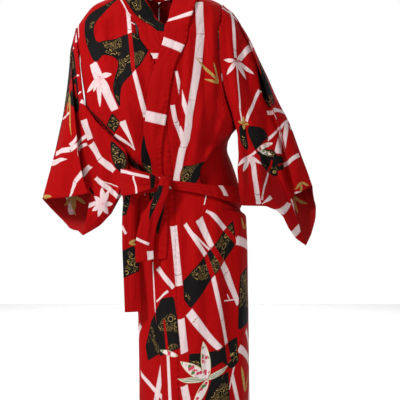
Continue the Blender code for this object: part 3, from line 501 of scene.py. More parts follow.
def edge_distances(sheet):
    across, down = sheet["across"], sheet["down"]
    return {
        "first": across - across[:, :1],
        "last": across[:, -1:] - across,
        "top": down - down[:1],
        "bottom": down[-1:] - down,
    }


def spot(sheet, column, row, facing=-1.0):
    """Place in the print's measures of what is seen at a drawing column and row.

    Facing is -1 for cloth in front, 1 for cloth behind and 0 for a place given in the measures themselves.
    """
    if facing == 0.0:
        return np.array([column, row]) / DRAWING_UNITS
    columns, rows = seen_at(sheet["points"])
    i, j = nearest(sheet, column, row, facing)
    i = min(max(i, 1), columns.shape[0] - 2)
    j = min(max(j, 1), columns.shape[1] - 2)
    turn = np.array([
        [(columns[i + 1, j] - columns[i - 1, j]) / 2, (columns[i, j + 1] - columns[i, j - 1]) / 2],
        [(rows[i + 1, j] - rows[i - 1, j]) / 2, (rows[i, j + 1] - rows[i, j - 1]) / 2],
    ])
    rest = np.array([column - columns[i, j], row - rows[i, j]])
    steps = np.clip(np.linalg.lstsq(turn, rest, rcond=None)[0], -REACH_STEPS, REACH_STEPS)
    field = sheet["print"]
    down, across = (field[i + 1, j] - field[i - 1, j]) / 2, (field[i, j + 1] - field[i, j - 1]) / 2
    return field[i, j] + down * steps[0] + across * steps[1]


FAR = 0.5  # distance in metres that stands for no motif near this place
BLANK = 9.0  # value of a motif's measures where it isn't


def local(sheet, start, end):
    """Length along the line from start to end, distance beside it and the line's own length."""
    u, v = sheet["print"][..., 0] - start[0], sheet["print"][..., 1] - start[1]
    along = end - start
    span = max(np.hypot(*along), 1e-6)
    s = (u * along[0] + v * along[1]) / span
    return s, (u * along[1] - v * along[0]) / span, span


def corners(values):
    """Values of the points, given to the four corners of every face."""
    return np.stack([values[:-1, :-1], values[:-1, 1:], values[1:, 1:], values[1:, :-1]], axis=2)


def gather(sheet, motifs):
    """Each face of the cloth gets the measures of the motif nearest to it."""
    rows, columns = sheet["across"].shape
    field = np.full((rows - 1, columns - 1, 4, 3), BLANK)
    least = np.full((rows - 1, columns - 1), FAR)
    for signed, values in motifs:
        here = corners(signed).mean(axis=2)
        nearer = here < least
        least[nearer] = here[nearer]
        field[nearer] = corners(values)[nearer]
    return field


TAPER_PAST = 0.1  # a bar's taper goes on for this share of its length past both ends
HALF_LEAST = 0.0003  # least half width of a bar


def bars(sheet, table, facing):
    """Straight bars that may taper: place across from -1 to 1, length along, distance past the ends."""
    motifs = []
    for c0, r0, half0, c1, r1, half1 in table:
        s, d, span = local(sheet, spot(sheet, c0, r0, facing), spot(sheet, c1, r1, facing))
        share = np.clip(s / span, -TAPER_PAST, 1.0 + TAPER_PAST)
        wide = np.maximum((half0 + (half1 - half0) * share) / 1000.0, HALF_LEAST)
        past = np.maximum(-s, s - span)
        signed = np.maximum(np.abs(d) - wide, past)
        motifs.append((signed, np.stack([d / wide, s, past], axis=-1)))
    return motifs


LEAF_ROOT = 0.6  # shape of a leaf towards its root
LEAF_TIP = 0.8  # and towards its tip
LEAF_FULL = 2.7  # makes the widest place of that shape about 1
LEAF_LEAST = 0.09  # share of the half width at which a leaf ends in a point


def leaves(sheet, table, facing):
    """Pointed leaves that spread from one root: place across, share of the length, kind of leaf."""
    motifs = []
    for column, row, half, kind, tips in table:
        root = spot(sheet, column, row, facing)
        for c, r in tips:
            s, d, span = local(sheet, root, spot(sheet, c, r, facing))
            share = s / span
            inner = np.clip(share, 0.0, 1.0)
            wide = half / 1000.0
            shape = wide * LEAF_FULL * inner**LEAF_ROOT * (1.0 - inner) ** LEAF_TIP
            signed = np.maximum(np.abs(d) - shape, np.maximum(-s, s - span))
            motifs.append((signed, np.stack([d / wide, share, np.full(s.shape, kind)], axis=-1)))
    return motifs


CURVE_STEPS = 6  # points of a round outline between two of its places


def closed_curve(places):
    """Points of a round closed line through the given places."""
    points = []
    count = len(places)
    for k in range(count):
        a, b, c, d = (places[(k + n) % count] for n in (-1, 0, 1, 2))
        for step in range(CURVE_STEPS):
            t = step / CURVE_STEPS
            points.append(0.5 * (
                2.0 * b + (c - a) * t + (2.0 * a - 5.0 * b + 4.0 * c - d) * t**2
                + (3.0 * b - a - 3.0 * c + d) * t**3
            ))
    return points


def patches(sheet, round_table, straight_table, facing):
    """Signed distance to the black patches: round ones like streams and straight-sided ones."""
    u, v = sheet["print"][..., 0], sheet["print"][..., 1]
    field = np.full(u.shape, FAR)
    outlines = [closed_curve([spot(sheet, c, r, facing) for c, r in line]) for line in round_table]
    outlines += [[spot(sheet, c, r, facing) for c, r in line] for line in straight_table]
    for outline in outlines:
        away = np.full(u.shape, FAR)
        within = np.zeros(u.shape, dtype=bool)
        for a, b in zip(outline, outline[1:] + outline[:1]):
            s, d, span = local(sheet, a, b)
            away = np.minimum(away, np.hypot(d, s - np.clip(s, 0.0, span)))
            crosses = (a[1] > v) != (b[1] > v)
            height = b[1] - a[1] if abs(b[1] - a[1]) > 1e-9 else 1e-9
            within ^= crosses & (u < a[0] + (v - a[1]) * (b[0] - a[0]) / height)
        field = np.minimum(field, np.where(within, -away, away))
    return field


def printed(sheet, chart):
    """All the motifs of the print on one piece of cloth: on its front, behind and round the side."""
    fields = {}
    turns = [(chart, -1.0)]
    for name, facing in (("behind", 1.0), ("beside", 0.0)):
        if name in chart:
            turns.append((chart[name], facing))
    black = np.full(sheet["across"].shape, FAR)
    for part, facing in turns:
        here = patches(sheet, part.get("streams", ()), part.get("bands", ()), facing)
        black = np.minimum(black, here)
    fields["stream"] = corners(np.repeat(black[..., None], 3, axis=-1))
    for key in ("bar", "stalk", "crossing", "leaf", "gold", "flower"):
        make = bars if key in ("bar", "stalk", "crossing") else leaves
        motifs = [one for part, facing in turns for one in make(sheet, part.get(key, ()), facing)]
        fields[key] = gather(sheet, motifs)
    return fields


def sewn_edges(sheet, sewn=(), hemmed=()):
    """Distance to the nearest sewn edge, distance to the nearest hem, and length along them."""
    edges = edge_distances(sheet)
    field = np.full(sheet["across"].shape + (3,), FAR)
    for layer, names in ((0, sewn), (1, hemmed)):
        for name in names:
            field[..., layer] = np.minimum(field[..., layer], edges[name])
    lengthwise = set(sewn) & {"first", "last"} or set(hemmed) & {"first", "last"}
    field[..., 2] = sheet["down"] if lengthwise else sheet["across"]
    return corners(field)


CORNER_PLACES = {(0, 0): 0, (0, 1): 1, (1, 1): 2, (1, 0): 3}


def cloth_object(sheet, fields, materials, thick=CLOTH_THICK):
    """Mesh of a sheet, with its print on the face corners, and its wall."""
    points = sheet["points"]
    rows, columns = points.shape[:2]
    shape = bmesh.new()
    bmesh.ops.create_grid(shape, x_segments=columns - 1, y_segments=rows - 1, size=1.0)
    places = {}
    for vertex in shape.verts:
        j = round((vertex.co.x + 1.0) / 2.0 * (columns - 1))
        i = round((vertex.co.y + 1.0) / 2.0 * (rows - 1))
        places[vertex] = (i, j)
        vertex.co = points[i, j]
    cloth = shape.loops.layers.uv.new("cloth")
    layers = {key: shape.loops.layers.float_vector.new(key) for key in fields}
    lists = {key: values.tolist() for key, values in fields.items()}
    measure = sheet["print"].tolist()
    for face in shape.faces:
        low = min(places[vertex] for vertex in face.verts)
        for loop in face.loops:
            i, j = places[loop.vert]
            loop[cloth].uv = measure[i][j]
            corner = CORNER_PLACES[(i - low[0], j - low[1])]
            for key, layer in layers.items():
                loop[layer] = lists[key][low[0]][low[1]][corner]
        face.smooth = True
    shape.faces.ensure_lookup_table()
    face = shape.faces[len(shape.faces) // 2]
    face.normal_update()
    i, j = places[face.verts[0]]
    if face.normal.dot(Vector(sheet["normal"][i, j])) < 0.0:
        bmesh.ops.reverse_faces(shape, faces=shape.faces)
    if sheet["ring"]:
        ends = [v for v, (i, j) in places.items() if j in (0, columns - 1) or i in (0, rows - 1)]
        bmesh.ops.remove_doubles(shape, verts=ends, dist=1e-5)
    mesh = bpy.data.meshes.new(sheet["name"])
    shape.to_mesh(mesh)
    shape.free()
    for material in materials:
        mesh.materials.append(material)
    item = bpy.data.objects.new(sheet["name"], mesh)
    bpy.context.scene.collection.objects.link(item)
    wall = item.modifiers.new("wall", "SOLIDIFY")
    wall.thickness = thick
    wall.offset = 0.0
    wall.use_even_offset = False
    wall.material_offset = 1
    wall.material_offset_rim = 0
    return item


def group(name, inputs, outputs):
    """New shader node group with its named sockets."""
    tree = bpy.data.node_groups.new(name, "ShaderNodeTree")
    for socket, kind, value in inputs:
        made = tree.interface.new_socket(name=socket, in_out="INPUT", socket_type=kind)
        if value is not None:
            made.default_value = value
    for socket, kind in outputs:
        tree.interface.new_socket(name=socket, in_out="OUTPUT", socket_type=kind)
    return tree, tree.nodes.new("NodeGroupInput"), tree.nodes.new("NodeGroupOutput")


def maths(tree, operation, a, b=None, c=None, clamp=False):
    """Math node on sockets or numbers; returns its output."""
    node = tree.nodes.new("ShaderNodeMath")
    node.operation = operation
    node.use_clamp = clamp
    for socket, value in zip(node.inputs, (a, b, c)):
        if value is None:
            continue
        if isinstance(value, (int, float)):
            socket.default_value = value
        else:
            tree.links.new(value, socket)
    return node.outputs[0]


def blend(tree, share, under, over):
    """Colour over another by a mask."""
    node = tree.nodes.new("ShaderNodeMix")
    node.data_type = "RGBA"
    for socket, value in ((node.inputs[0], share), (node.inputs[6], under), (node.inputs[7], over)):
        if isinstance(value, (int, float, tuple)):
            socket.default_value = value
        else:
            tree.links.new(value, socket)
    return node.outputs[2]


def apart(tree, vector):
    node = tree.nodes.new("ShaderNodeSeparateXYZ")
    tree.links.new(vector, node.inputs[0])
    return node.outputs


def noise(tree, vector, scale, detail=3.0, stretch=(1.0, 1.0, 1.0), distortion=0.0):
    mapping = tree.nodes.new("ShaderNodeMapping")
    mapping.inputs["Scale"].default_value = stretch
    tree.links.new(vector, mapping.inputs["Vector"])
    node = tree.nodes.new("ShaderNodeTexNoise")
    node.inputs["Scale"].default_value = scale
    node.inputs["Detail"].default_value = detail
    node.inputs["Distortion"].default_value = distortion
    tree.links.new(mapping.outputs[0], node.inputs["Vector"])
    return node.outputs["Fac"]


EDGE = 0.0004  # softness of a printed edge in metres
BAR_EDGE = 0.05  # the same as a share of a bar's half width
LEAF_EDGE = 0.06  # and of a leaf's
SPRIG_EDGE = 0.08  # and of a gold sprig's


def inside(tree, distance, at=0.0, edge=EDGE):
    """Mask that is 1 where the signed distance is below a value."""
    return maths(tree, "DIVIDE", maths(tree, "SUBTRACT", at + edge, distance), 2.0 * edge, clamp=True)


def line_mask(tree, value, half):
    """Mask of a thin line where the value is near nought."""
    left = maths(tree, "SUBTRACT", half * 1.5, maths(tree, "ABSOLUTE", value))
    return maths(tree, "DIVIDE", left, half, clamp=True)


def bar_mask(tree, bar):
    """Mask of a bar from its place across and the distance past its ends."""
    wide = inside(tree, maths(tree, "ABSOLUTE", bar[0]), 1.0, BAR_EDGE)
    return maths(tree, "MULTIPLY", wide, inside(tree, bar[2]))


def leaf_room(tree, leaf):
    """How far inside a leaf's outline a place is, as a share of its half width; below 0 is outside."""
    share = maths(tree, "ADD", leaf[1], 0.0, clamp=True)
    root = maths(tree, "POWER", share, LEAF_ROOT)
    tip = maths(tree, "POWER", maths(tree, "SUBTRACT", 1.0, share), LEAF_TIP)
    shape = maths(tree, "MULTIPLY", maths(tree, "MULTIPLY", root, tip), LEAF_FULL)
    across = maths(tree, "ADD", maths(tree, "ABSOLUTE", leaf[0]), LEAF_LEAST)
    return maths(tree, "SUBTRACT", shape, across)


WHITE_INK = (0.84, 0.72, 0.70, 1.0)
PINK_INK = (0.76, 0.46, 0.50, 1.0)
BLACK_INK = (0.007, 0.006, 0.006, 1.0)
GOLD_INK = (0.50, 0.32, 0.09, 1.0)
DARK_GOLD_INK = (0.26, 0.14, 0.02, 1.0)
CREAM_INK = (0.80, 0.74, 0.52, 1.0)
LINE_INK = (0.10, 0.01, 0.01, 1.0)
GREEN_INK = (0.09, 0.20, 0.05, 1.0)
BLOOM_INK = (0.62, 0.05, 0.10, 1.0)
JOINT_SPACING = 0.110  # distance between the joints of the printed bamboo
SCROLL_SIZE = 0.024  # size of one gold scroll on the streams
SCROLL_RINGS = 30.0  # turns of a scroll's rings, in radians over its size
SCROLL_REACH = 0.40  # share of that size that the rings fill
WAVE_BENDS = 34.0  # bends of the flowing gold lines, to the metre
WAVE_LINES = 74.0  # how many lines flow side by side
GILT_PATCHES = 13.0  # patches with gold on a stream, to the metre
GILT_INSET = 0.0030  # the gold stays this far inside a stream
STREAKS = 26.0  # pink streaks along a stalk, to the metre
JOINT_BOW = 0.0022  # how far a joint's line bows along the stalk
JOINT_LINE = 0.0006  # half the width of that line
FLECKS = 300.0  # dark flecks in a gold sprig, to the metre
VEIN = 0.05  # half the width of a leaf's vein, as a share of the leaf's half width
BLOOMS = 105.0  # small flowers inside a leaf, to the metre
RIM = 0.16  # width of the cream rim round them, as a share of the leaf's half width
STRIPES = 13.0  # stripes across a green leaf, in radians over its half width


def make_print_group():
    """The print: streams with gold scrolls, bamboo stalks with joints, leaf fans and gold sprigs."""
    names = ("Stream", "Bar", "Stalk", "Crossing", "Leaf", "Gold", "Flower", "Cloth")
    tree, given, put = group(
        "bamboo and stream print",
        [("Ground", "NodeSocketColor", (0.6, 0.003, 0.006, 1.0))]
        + [(name, "NodeSocketVector", None) for name in names],
        [("Color", "NodeSocketColor"), ("Ink", "NodeSocketFloat")],
    )
    cloth = given.outputs["Cloth"]
    ground = given.outputs["Ground"]
    # Streams and black bars, with gold rings and flowing lines inside them.
    stream = apart(tree, given.outputs["Stream"])
    black = bar_mask(tree, apart(tree, given.outputs["Bar"]))
    black = maths(tree, "MAXIMUM", inside(tree, stream[0]), black)
    colour = blend(tree, black, ground, BLACK_INK)
    cells = tree.nodes.new("ShaderNodeTexVoronoi")
    cells.inputs["Scale"].default_value = 1.0 / SCROLL_SIZE
    cells.inputs["Randomness"].default_value = 0.9
    tree.links.new(cloth, cells.inputs["Vector"])
    rings = maths(tree, "SINE", maths(tree, "MULTIPLY", cells.outputs["Distance"], SCROLL_RINGS))
    curls = maths(tree, "SUBTRACT", noise(tree, cloth, WAVE_BENDS, 1.0, distortion=1.8), 0.5)
    flow = maths(tree, "SINE", maths(tree, "MULTIPLY", curls, WAVE_LINES))
    near = maths(tree, "LESS_THAN", cells.outputs["Distance"], SCROLL_REACH)
    scroll = maths(tree, "MULTIPLY", maths(tree, "GREATER_THAN", rings, 0.80), near)
    waves = maths(tree, "GREATER_THAN", flow, 0.90)
    waves = maths(tree, "MULTIPLY", waves, maths(tree, "SUBTRACT", 1.0, near))
    gilt = maths(tree, "MAXIMUM", scroll, waves)
    where = maths(tree, "GREATER_THAN", noise(tree, cloth, GILT_PATCHES, 1.0), 0.52)
    gilt = maths(tree, "MULTIPLY", gilt, where)
    gilt = maths(tree, "MULTIPLY", gilt, inside(tree, stream[0], -GILT_INSET))
    colour = blend(tree, gilt, colour, GOLD_INK)
    ink = black
    # Bamboo: white in the middle, pink at its sides, with thin joints; over black it is left red.
    for name in ("Stalk", "Crossing"):
        stalk = apart(tree, given.outputs[name])
        white = bar_mask(tree, stalk)
        streaks = noise(tree, cloth, STREAKS, 2.0, stretch=(1.0, 0.4, 1.0))
        side = maths(tree, "POWER", maths(tree, "ABSOLUTE", stalk[0], clamp=True), 4.0)
        rosy = maths(tree, "MULTIPLY_ADD", side, 0.55, maths(tree, "MULTIPLY", streaks, 0.55), clamp=True)
        tone = blend(tree, rosy, WHITE_INK, PINK_INK)
        bow = maths(tree, "MULTIPLY", maths(tree, "MULTIPLY", stalk[0], stalk[0]), JOINT_BOW)
        place = maths(tree, "ADD", stalk[1], bow)
        phase = maths(tree, "FRACT", maths(tree, "MULTIPLY_ADD", place, 1.0 / JOINT_SPACING, 0.5))
        phase = maths(tree, "SUBTRACT", phase, 0.5)
        joint = line_mask(tree, maths(tree, "MULTIPLY", phase, JOINT_SPACING), JOINT_LINE)
        tone = blend(tree, joint, tone, LINE_INK)
        tone = blend(tree, black, tone, ground)
        colour = blend(tree, white, colour, tone)
        ink = maths(tree, "MAXIMUM", ink, white)
    # Gold sprigs.
    room = leaf_room(tree, apart(tree, given.outputs["Gold"]))
    gold = inside(tree, maths(tree, "MULTIPLY", room, -1.0), 0.0, SPRIG_EDGE)
    fleck = noise(tree, cloth, FLECKS, 2.0)
    tone = blend(tree, maths(tree, "GREATER_THAN", fleck, 0.58), GOLD_INK, DARK_GOLD_INK)
    colour = blend(tree, gold, colour, tone)
    # White leaves with a pink root and a fine vein.
    leaf = apart(tree, given.outputs["Leaf"])
    white = inside(tree, maths(tree, "MULTIPLY", leaf_room(tree, leaf), -1.0), 0.0, LEAF_EDGE)
    rosy = maths(tree, "MULTIPLY_ADD", leaf[1], -0.8, 0.75, clamp=True)
    tone = blend(tree, rosy, WHITE_INK, PINK_INK)
    tone = blend(tree, maths(tree, "MULTIPLY", line_mask(tree, leaf[0], VEIN), 0.45), tone, BLOOM_INK)
    colour = blend(tree, white, colour, tone)
    # Leaves filled with small flowers in a cream rim, and green leaves with pale stripes.
    flower = apart(tree, given.outputs["Flower"])
    room = leaf_room(tree, flower)
    filled = inside(tree, maths(tree, "MULTIPLY", room, -1.0), 0.0, LEAF_EDGE)
    small = tree.nodes.new("ShaderNodeTexVoronoi")
    small.inputs["Scale"].default_value = BLOOMS
    tree.links.new(cloth, small.inputs["Vector"])
    petals = maths(tree, "LESS_THAN", small.outputs["Distance"], 0.46)
    which = apart(tree, small.outputs["Color"])
    bloom = blend(tree, maths(tree, "GREATER_THAN", which[0], 0.55), BLOOM_INK, PINK_INK)
    bloom = blend(tree, maths(tree, "GREATER_THAN", which[1], 0.72), bloom, GREEN_INK)
    tone = blend(tree, petals, WHITE_INK, bloom)
    stripes = maths(tree, "SINE", maths(tree, "MULTIPLY", flower[0], STRIPES))
    stripes = maths(tree, "GREATER_THAN", stripes, 0.1)
    striped = blend(tree, stripes, GREEN_INK, WHITE_INK)
    tone = blend(tree, maths(tree, "GREATER_THAN", flower[2], 0.5), tone, striped)
    rim = maths(tree, "LESS_THAN", room, RIM)
    tone = blend(tree, rim, tone, CREAM_INK)
    colour = blend(tree, filled, colour, tone)
    for mask in (white, filled, gold):
        ink = maths(tree, "MAXIMUM", ink, mask)
    tree.links.new(colour, put.inputs["Color"])
    tree.links.new(ink, put.inputs["Ink"])
    return tree


THREAD = 0.0011  # width of one thread pair of the plain weave
THREAD_HEIGHT = 0.00004
SLUBS = 900.0  # thicker places of the threads, to the metre
SLUB_HEIGHT = 0.00006
RUMPLES = 17.0  # soft unevenness of worn cloth, to the metre
RUMPLE_HEIGHT = 0.0062
PUCKERS = 480.0  # fine puckers beside a seam, in radians to the metre
PUCKER_HEIGHT = 0.0007
PUCKER_FADE = 110.0  # how fast they fade away from it, per metre
HEM_PLACE = 0.011  # distance of the hem's stitching from the edge
HEM_WIDTH = 0.0012
HEM_DEPTH = 0.0005


def make_weave_group():
    """Plain cotton weave: crossing threads, slubs, soft rumples and puckers beside the seams."""
    tree, given, put = group(
        "plain weave",
        [
            ("Cloth", "NodeSocketVector", None),
            ("Seam", "NodeSocketVector", None),
            ("Rumple", "NodeSocketFloat", 1.0),
        ],
        [("Height", "NodeSocketFloat"), ("Tone", "NodeSocketFloat")],
    )
    cloth = apart(tree, given.outputs["Cloth"])
    seam = apart(tree, given.outputs["Seam"])
    turn = 2.0 * math.pi / THREAD
    warp = maths(tree, "SINE", maths(tree, "MULTIPLY", cloth[0], turn))
    weft = maths(tree, "SINE", maths(tree, "MULTIPLY", cloth[1], turn))
    threads = maths(tree, "MULTIPLY", warp, weft)
    slubs = noise(tree, given.outputs["Cloth"], SLUBS, 2.0, stretch=(1.0, 0.12, 1.0))
    rumple = noise(tree, given.outputs["Cloth"], RUMPLES, 3.0, stretch=(1.8, 0.55, 1.0), distortion=0.8)
    beside = maths(tree, "MULTIPLY", maths(tree, "ABSOLUTE", seam[0]), -PUCKER_FADE)
    beside = maths(tree, "POWER", 2.718, beside)
    wobble = noise(tree, given.outputs["Cloth"], 30.0, 1.0)
    shift = maths(tree, "MULTIPLY", wobble, 14.0)
    puckers = maths(tree, "SINE", maths(tree, "MULTIPLY_ADD", seam[2], PUCKERS, shift))
    puckers = maths(tree, "MULTIPLY", puckers, beside)
    hem = line_mask(tree, maths(tree, "SUBTRACT", seam[1], HEM_PLACE), HEM_WIDTH)
    rumple = maths(tree, "MULTIPLY", rumple, given.outputs["Rumple"])
    height = maths(tree, "MULTIPLY", threads, THREAD_HEIGHT)
    height = maths(tree, "MULTIPLY_ADD", slubs, SLUB_HEIGHT, height)
    height = maths(tree, "MULTIPLY_ADD", rumple, RUMPLE_HEIGHT, height)
    height = maths(tree, "MULTIPLY_ADD", puckers, PUCKER_HEIGHT, height)
    height = maths(tree, "MULTIPLY_ADD", hem, -HEM_DEPTH, height)
    tone = maths(tree, "MULTIPLY_ADD", slubs, 0.10, 0.95)
    tree.links.new(height, put.inputs["Height"])
    tree.links.new(tone, put.inputs["Tone"])
    return tree


print_group = make_print_group()
weave_group = make_weave_group()
RED_INK = (0.40, 0.0008, 0.0016, 1.0)
REVERSE = 0.30  # on the wrong side of the cloth the print shows this much less
REVERSE_RED = (0.30, 0.02, 0.02, 1.0)


def make_cotton(name, ground, reverse=0.0, rumple=1.0):
    """Printed cotton: the print in the colour, the weave in the relief, a slight bloom of fibres."""
    material = bpy.data.materials.new(name)
    material.use_nodes = True
    tree = material.node_tree
    shader = tree.nodes["Principled BSDF"]
    prints, weave = tree.nodes.new("ShaderNodeGroup"), tree.nodes.new("ShaderNodeGroup")
    prints.node_tree, weave.node_tree = print_group, weave_group
    prints.inputs["Ground"].default_value = ground
    weave.inputs["Rumple"].default_value = rumple
    for key, node, socket in (
        ("stream", prints, "Stream"), ("bar", prints, "Bar"), ("stalk", prints, "Stalk"),
        ("crossing", prints, "Crossing"), ("leaf", prints, "Leaf"), ("gold", prints, "Gold"),
        ("flower", prints, "Flower"), ("seam", weave, "Seam"),
    ):
        source = tree.nodes.new("ShaderNodeAttribute")
        source.attribute_name = key
        tree.links.new(source.outputs["Vector"], node.inputs[socket])
    uv = tree.nodes.new("ShaderNodeUVMap")
    uv.uv_map = "cloth"
    tree.links.new(uv.outputs[0], prints.inputs["Cloth"])
    tree.links.new(uv.outputs[0], weave.inputs["Cloth"])
    colour = prints.outputs["Color"]
    if reverse:
        colour = blend(tree, reverse, colour, REVERSE_RED)
    toned = tree.nodes.new("ShaderNodeMix")
    toned.data_type = "RGBA"
    toned.blend_type = "MULTIPLY"
    toned.inputs[0].default_value = 1.0
    tree.links.new(colour, toned.inputs[6])
    tree.links.new(weave.outputs["Tone"], toned.inputs[7])
    tree.links.new(toned.outputs[2], shader.inputs["Base Color"])
    rough = maths(tree, "MULTIPLY_ADD", prints.outputs["Ink"], -0.06, 0.80)
    tree.links.new(rough, shader.inputs["Roughness"])
    bump = tree.nodes.new("ShaderNodeBump")
    bump.inputs["Distance"].default_value = 1.0
    bump.inputs["Strength"].default_value = 1.0
    tree.links.new(weave.outputs["Height"], bump.inputs["Height"])
    tree.links.new(bump.outputs[0], shader.inputs["Normal"])
    shader.inputs["Specular IOR Level"].default_value = 0.08
    shader.inputs["Sheen Weight"].default_value = 0.008
    shader.inputs["Sheen Roughness"].default_value = 0.5
    return material


cotton = make_cotton("cotton", RED_INK)
cotton_reverse = make_cotton("cotton_reverse", RED_INK, REVERSE)
fronts = {side: body_rows(side) for side in (-1, 1)}

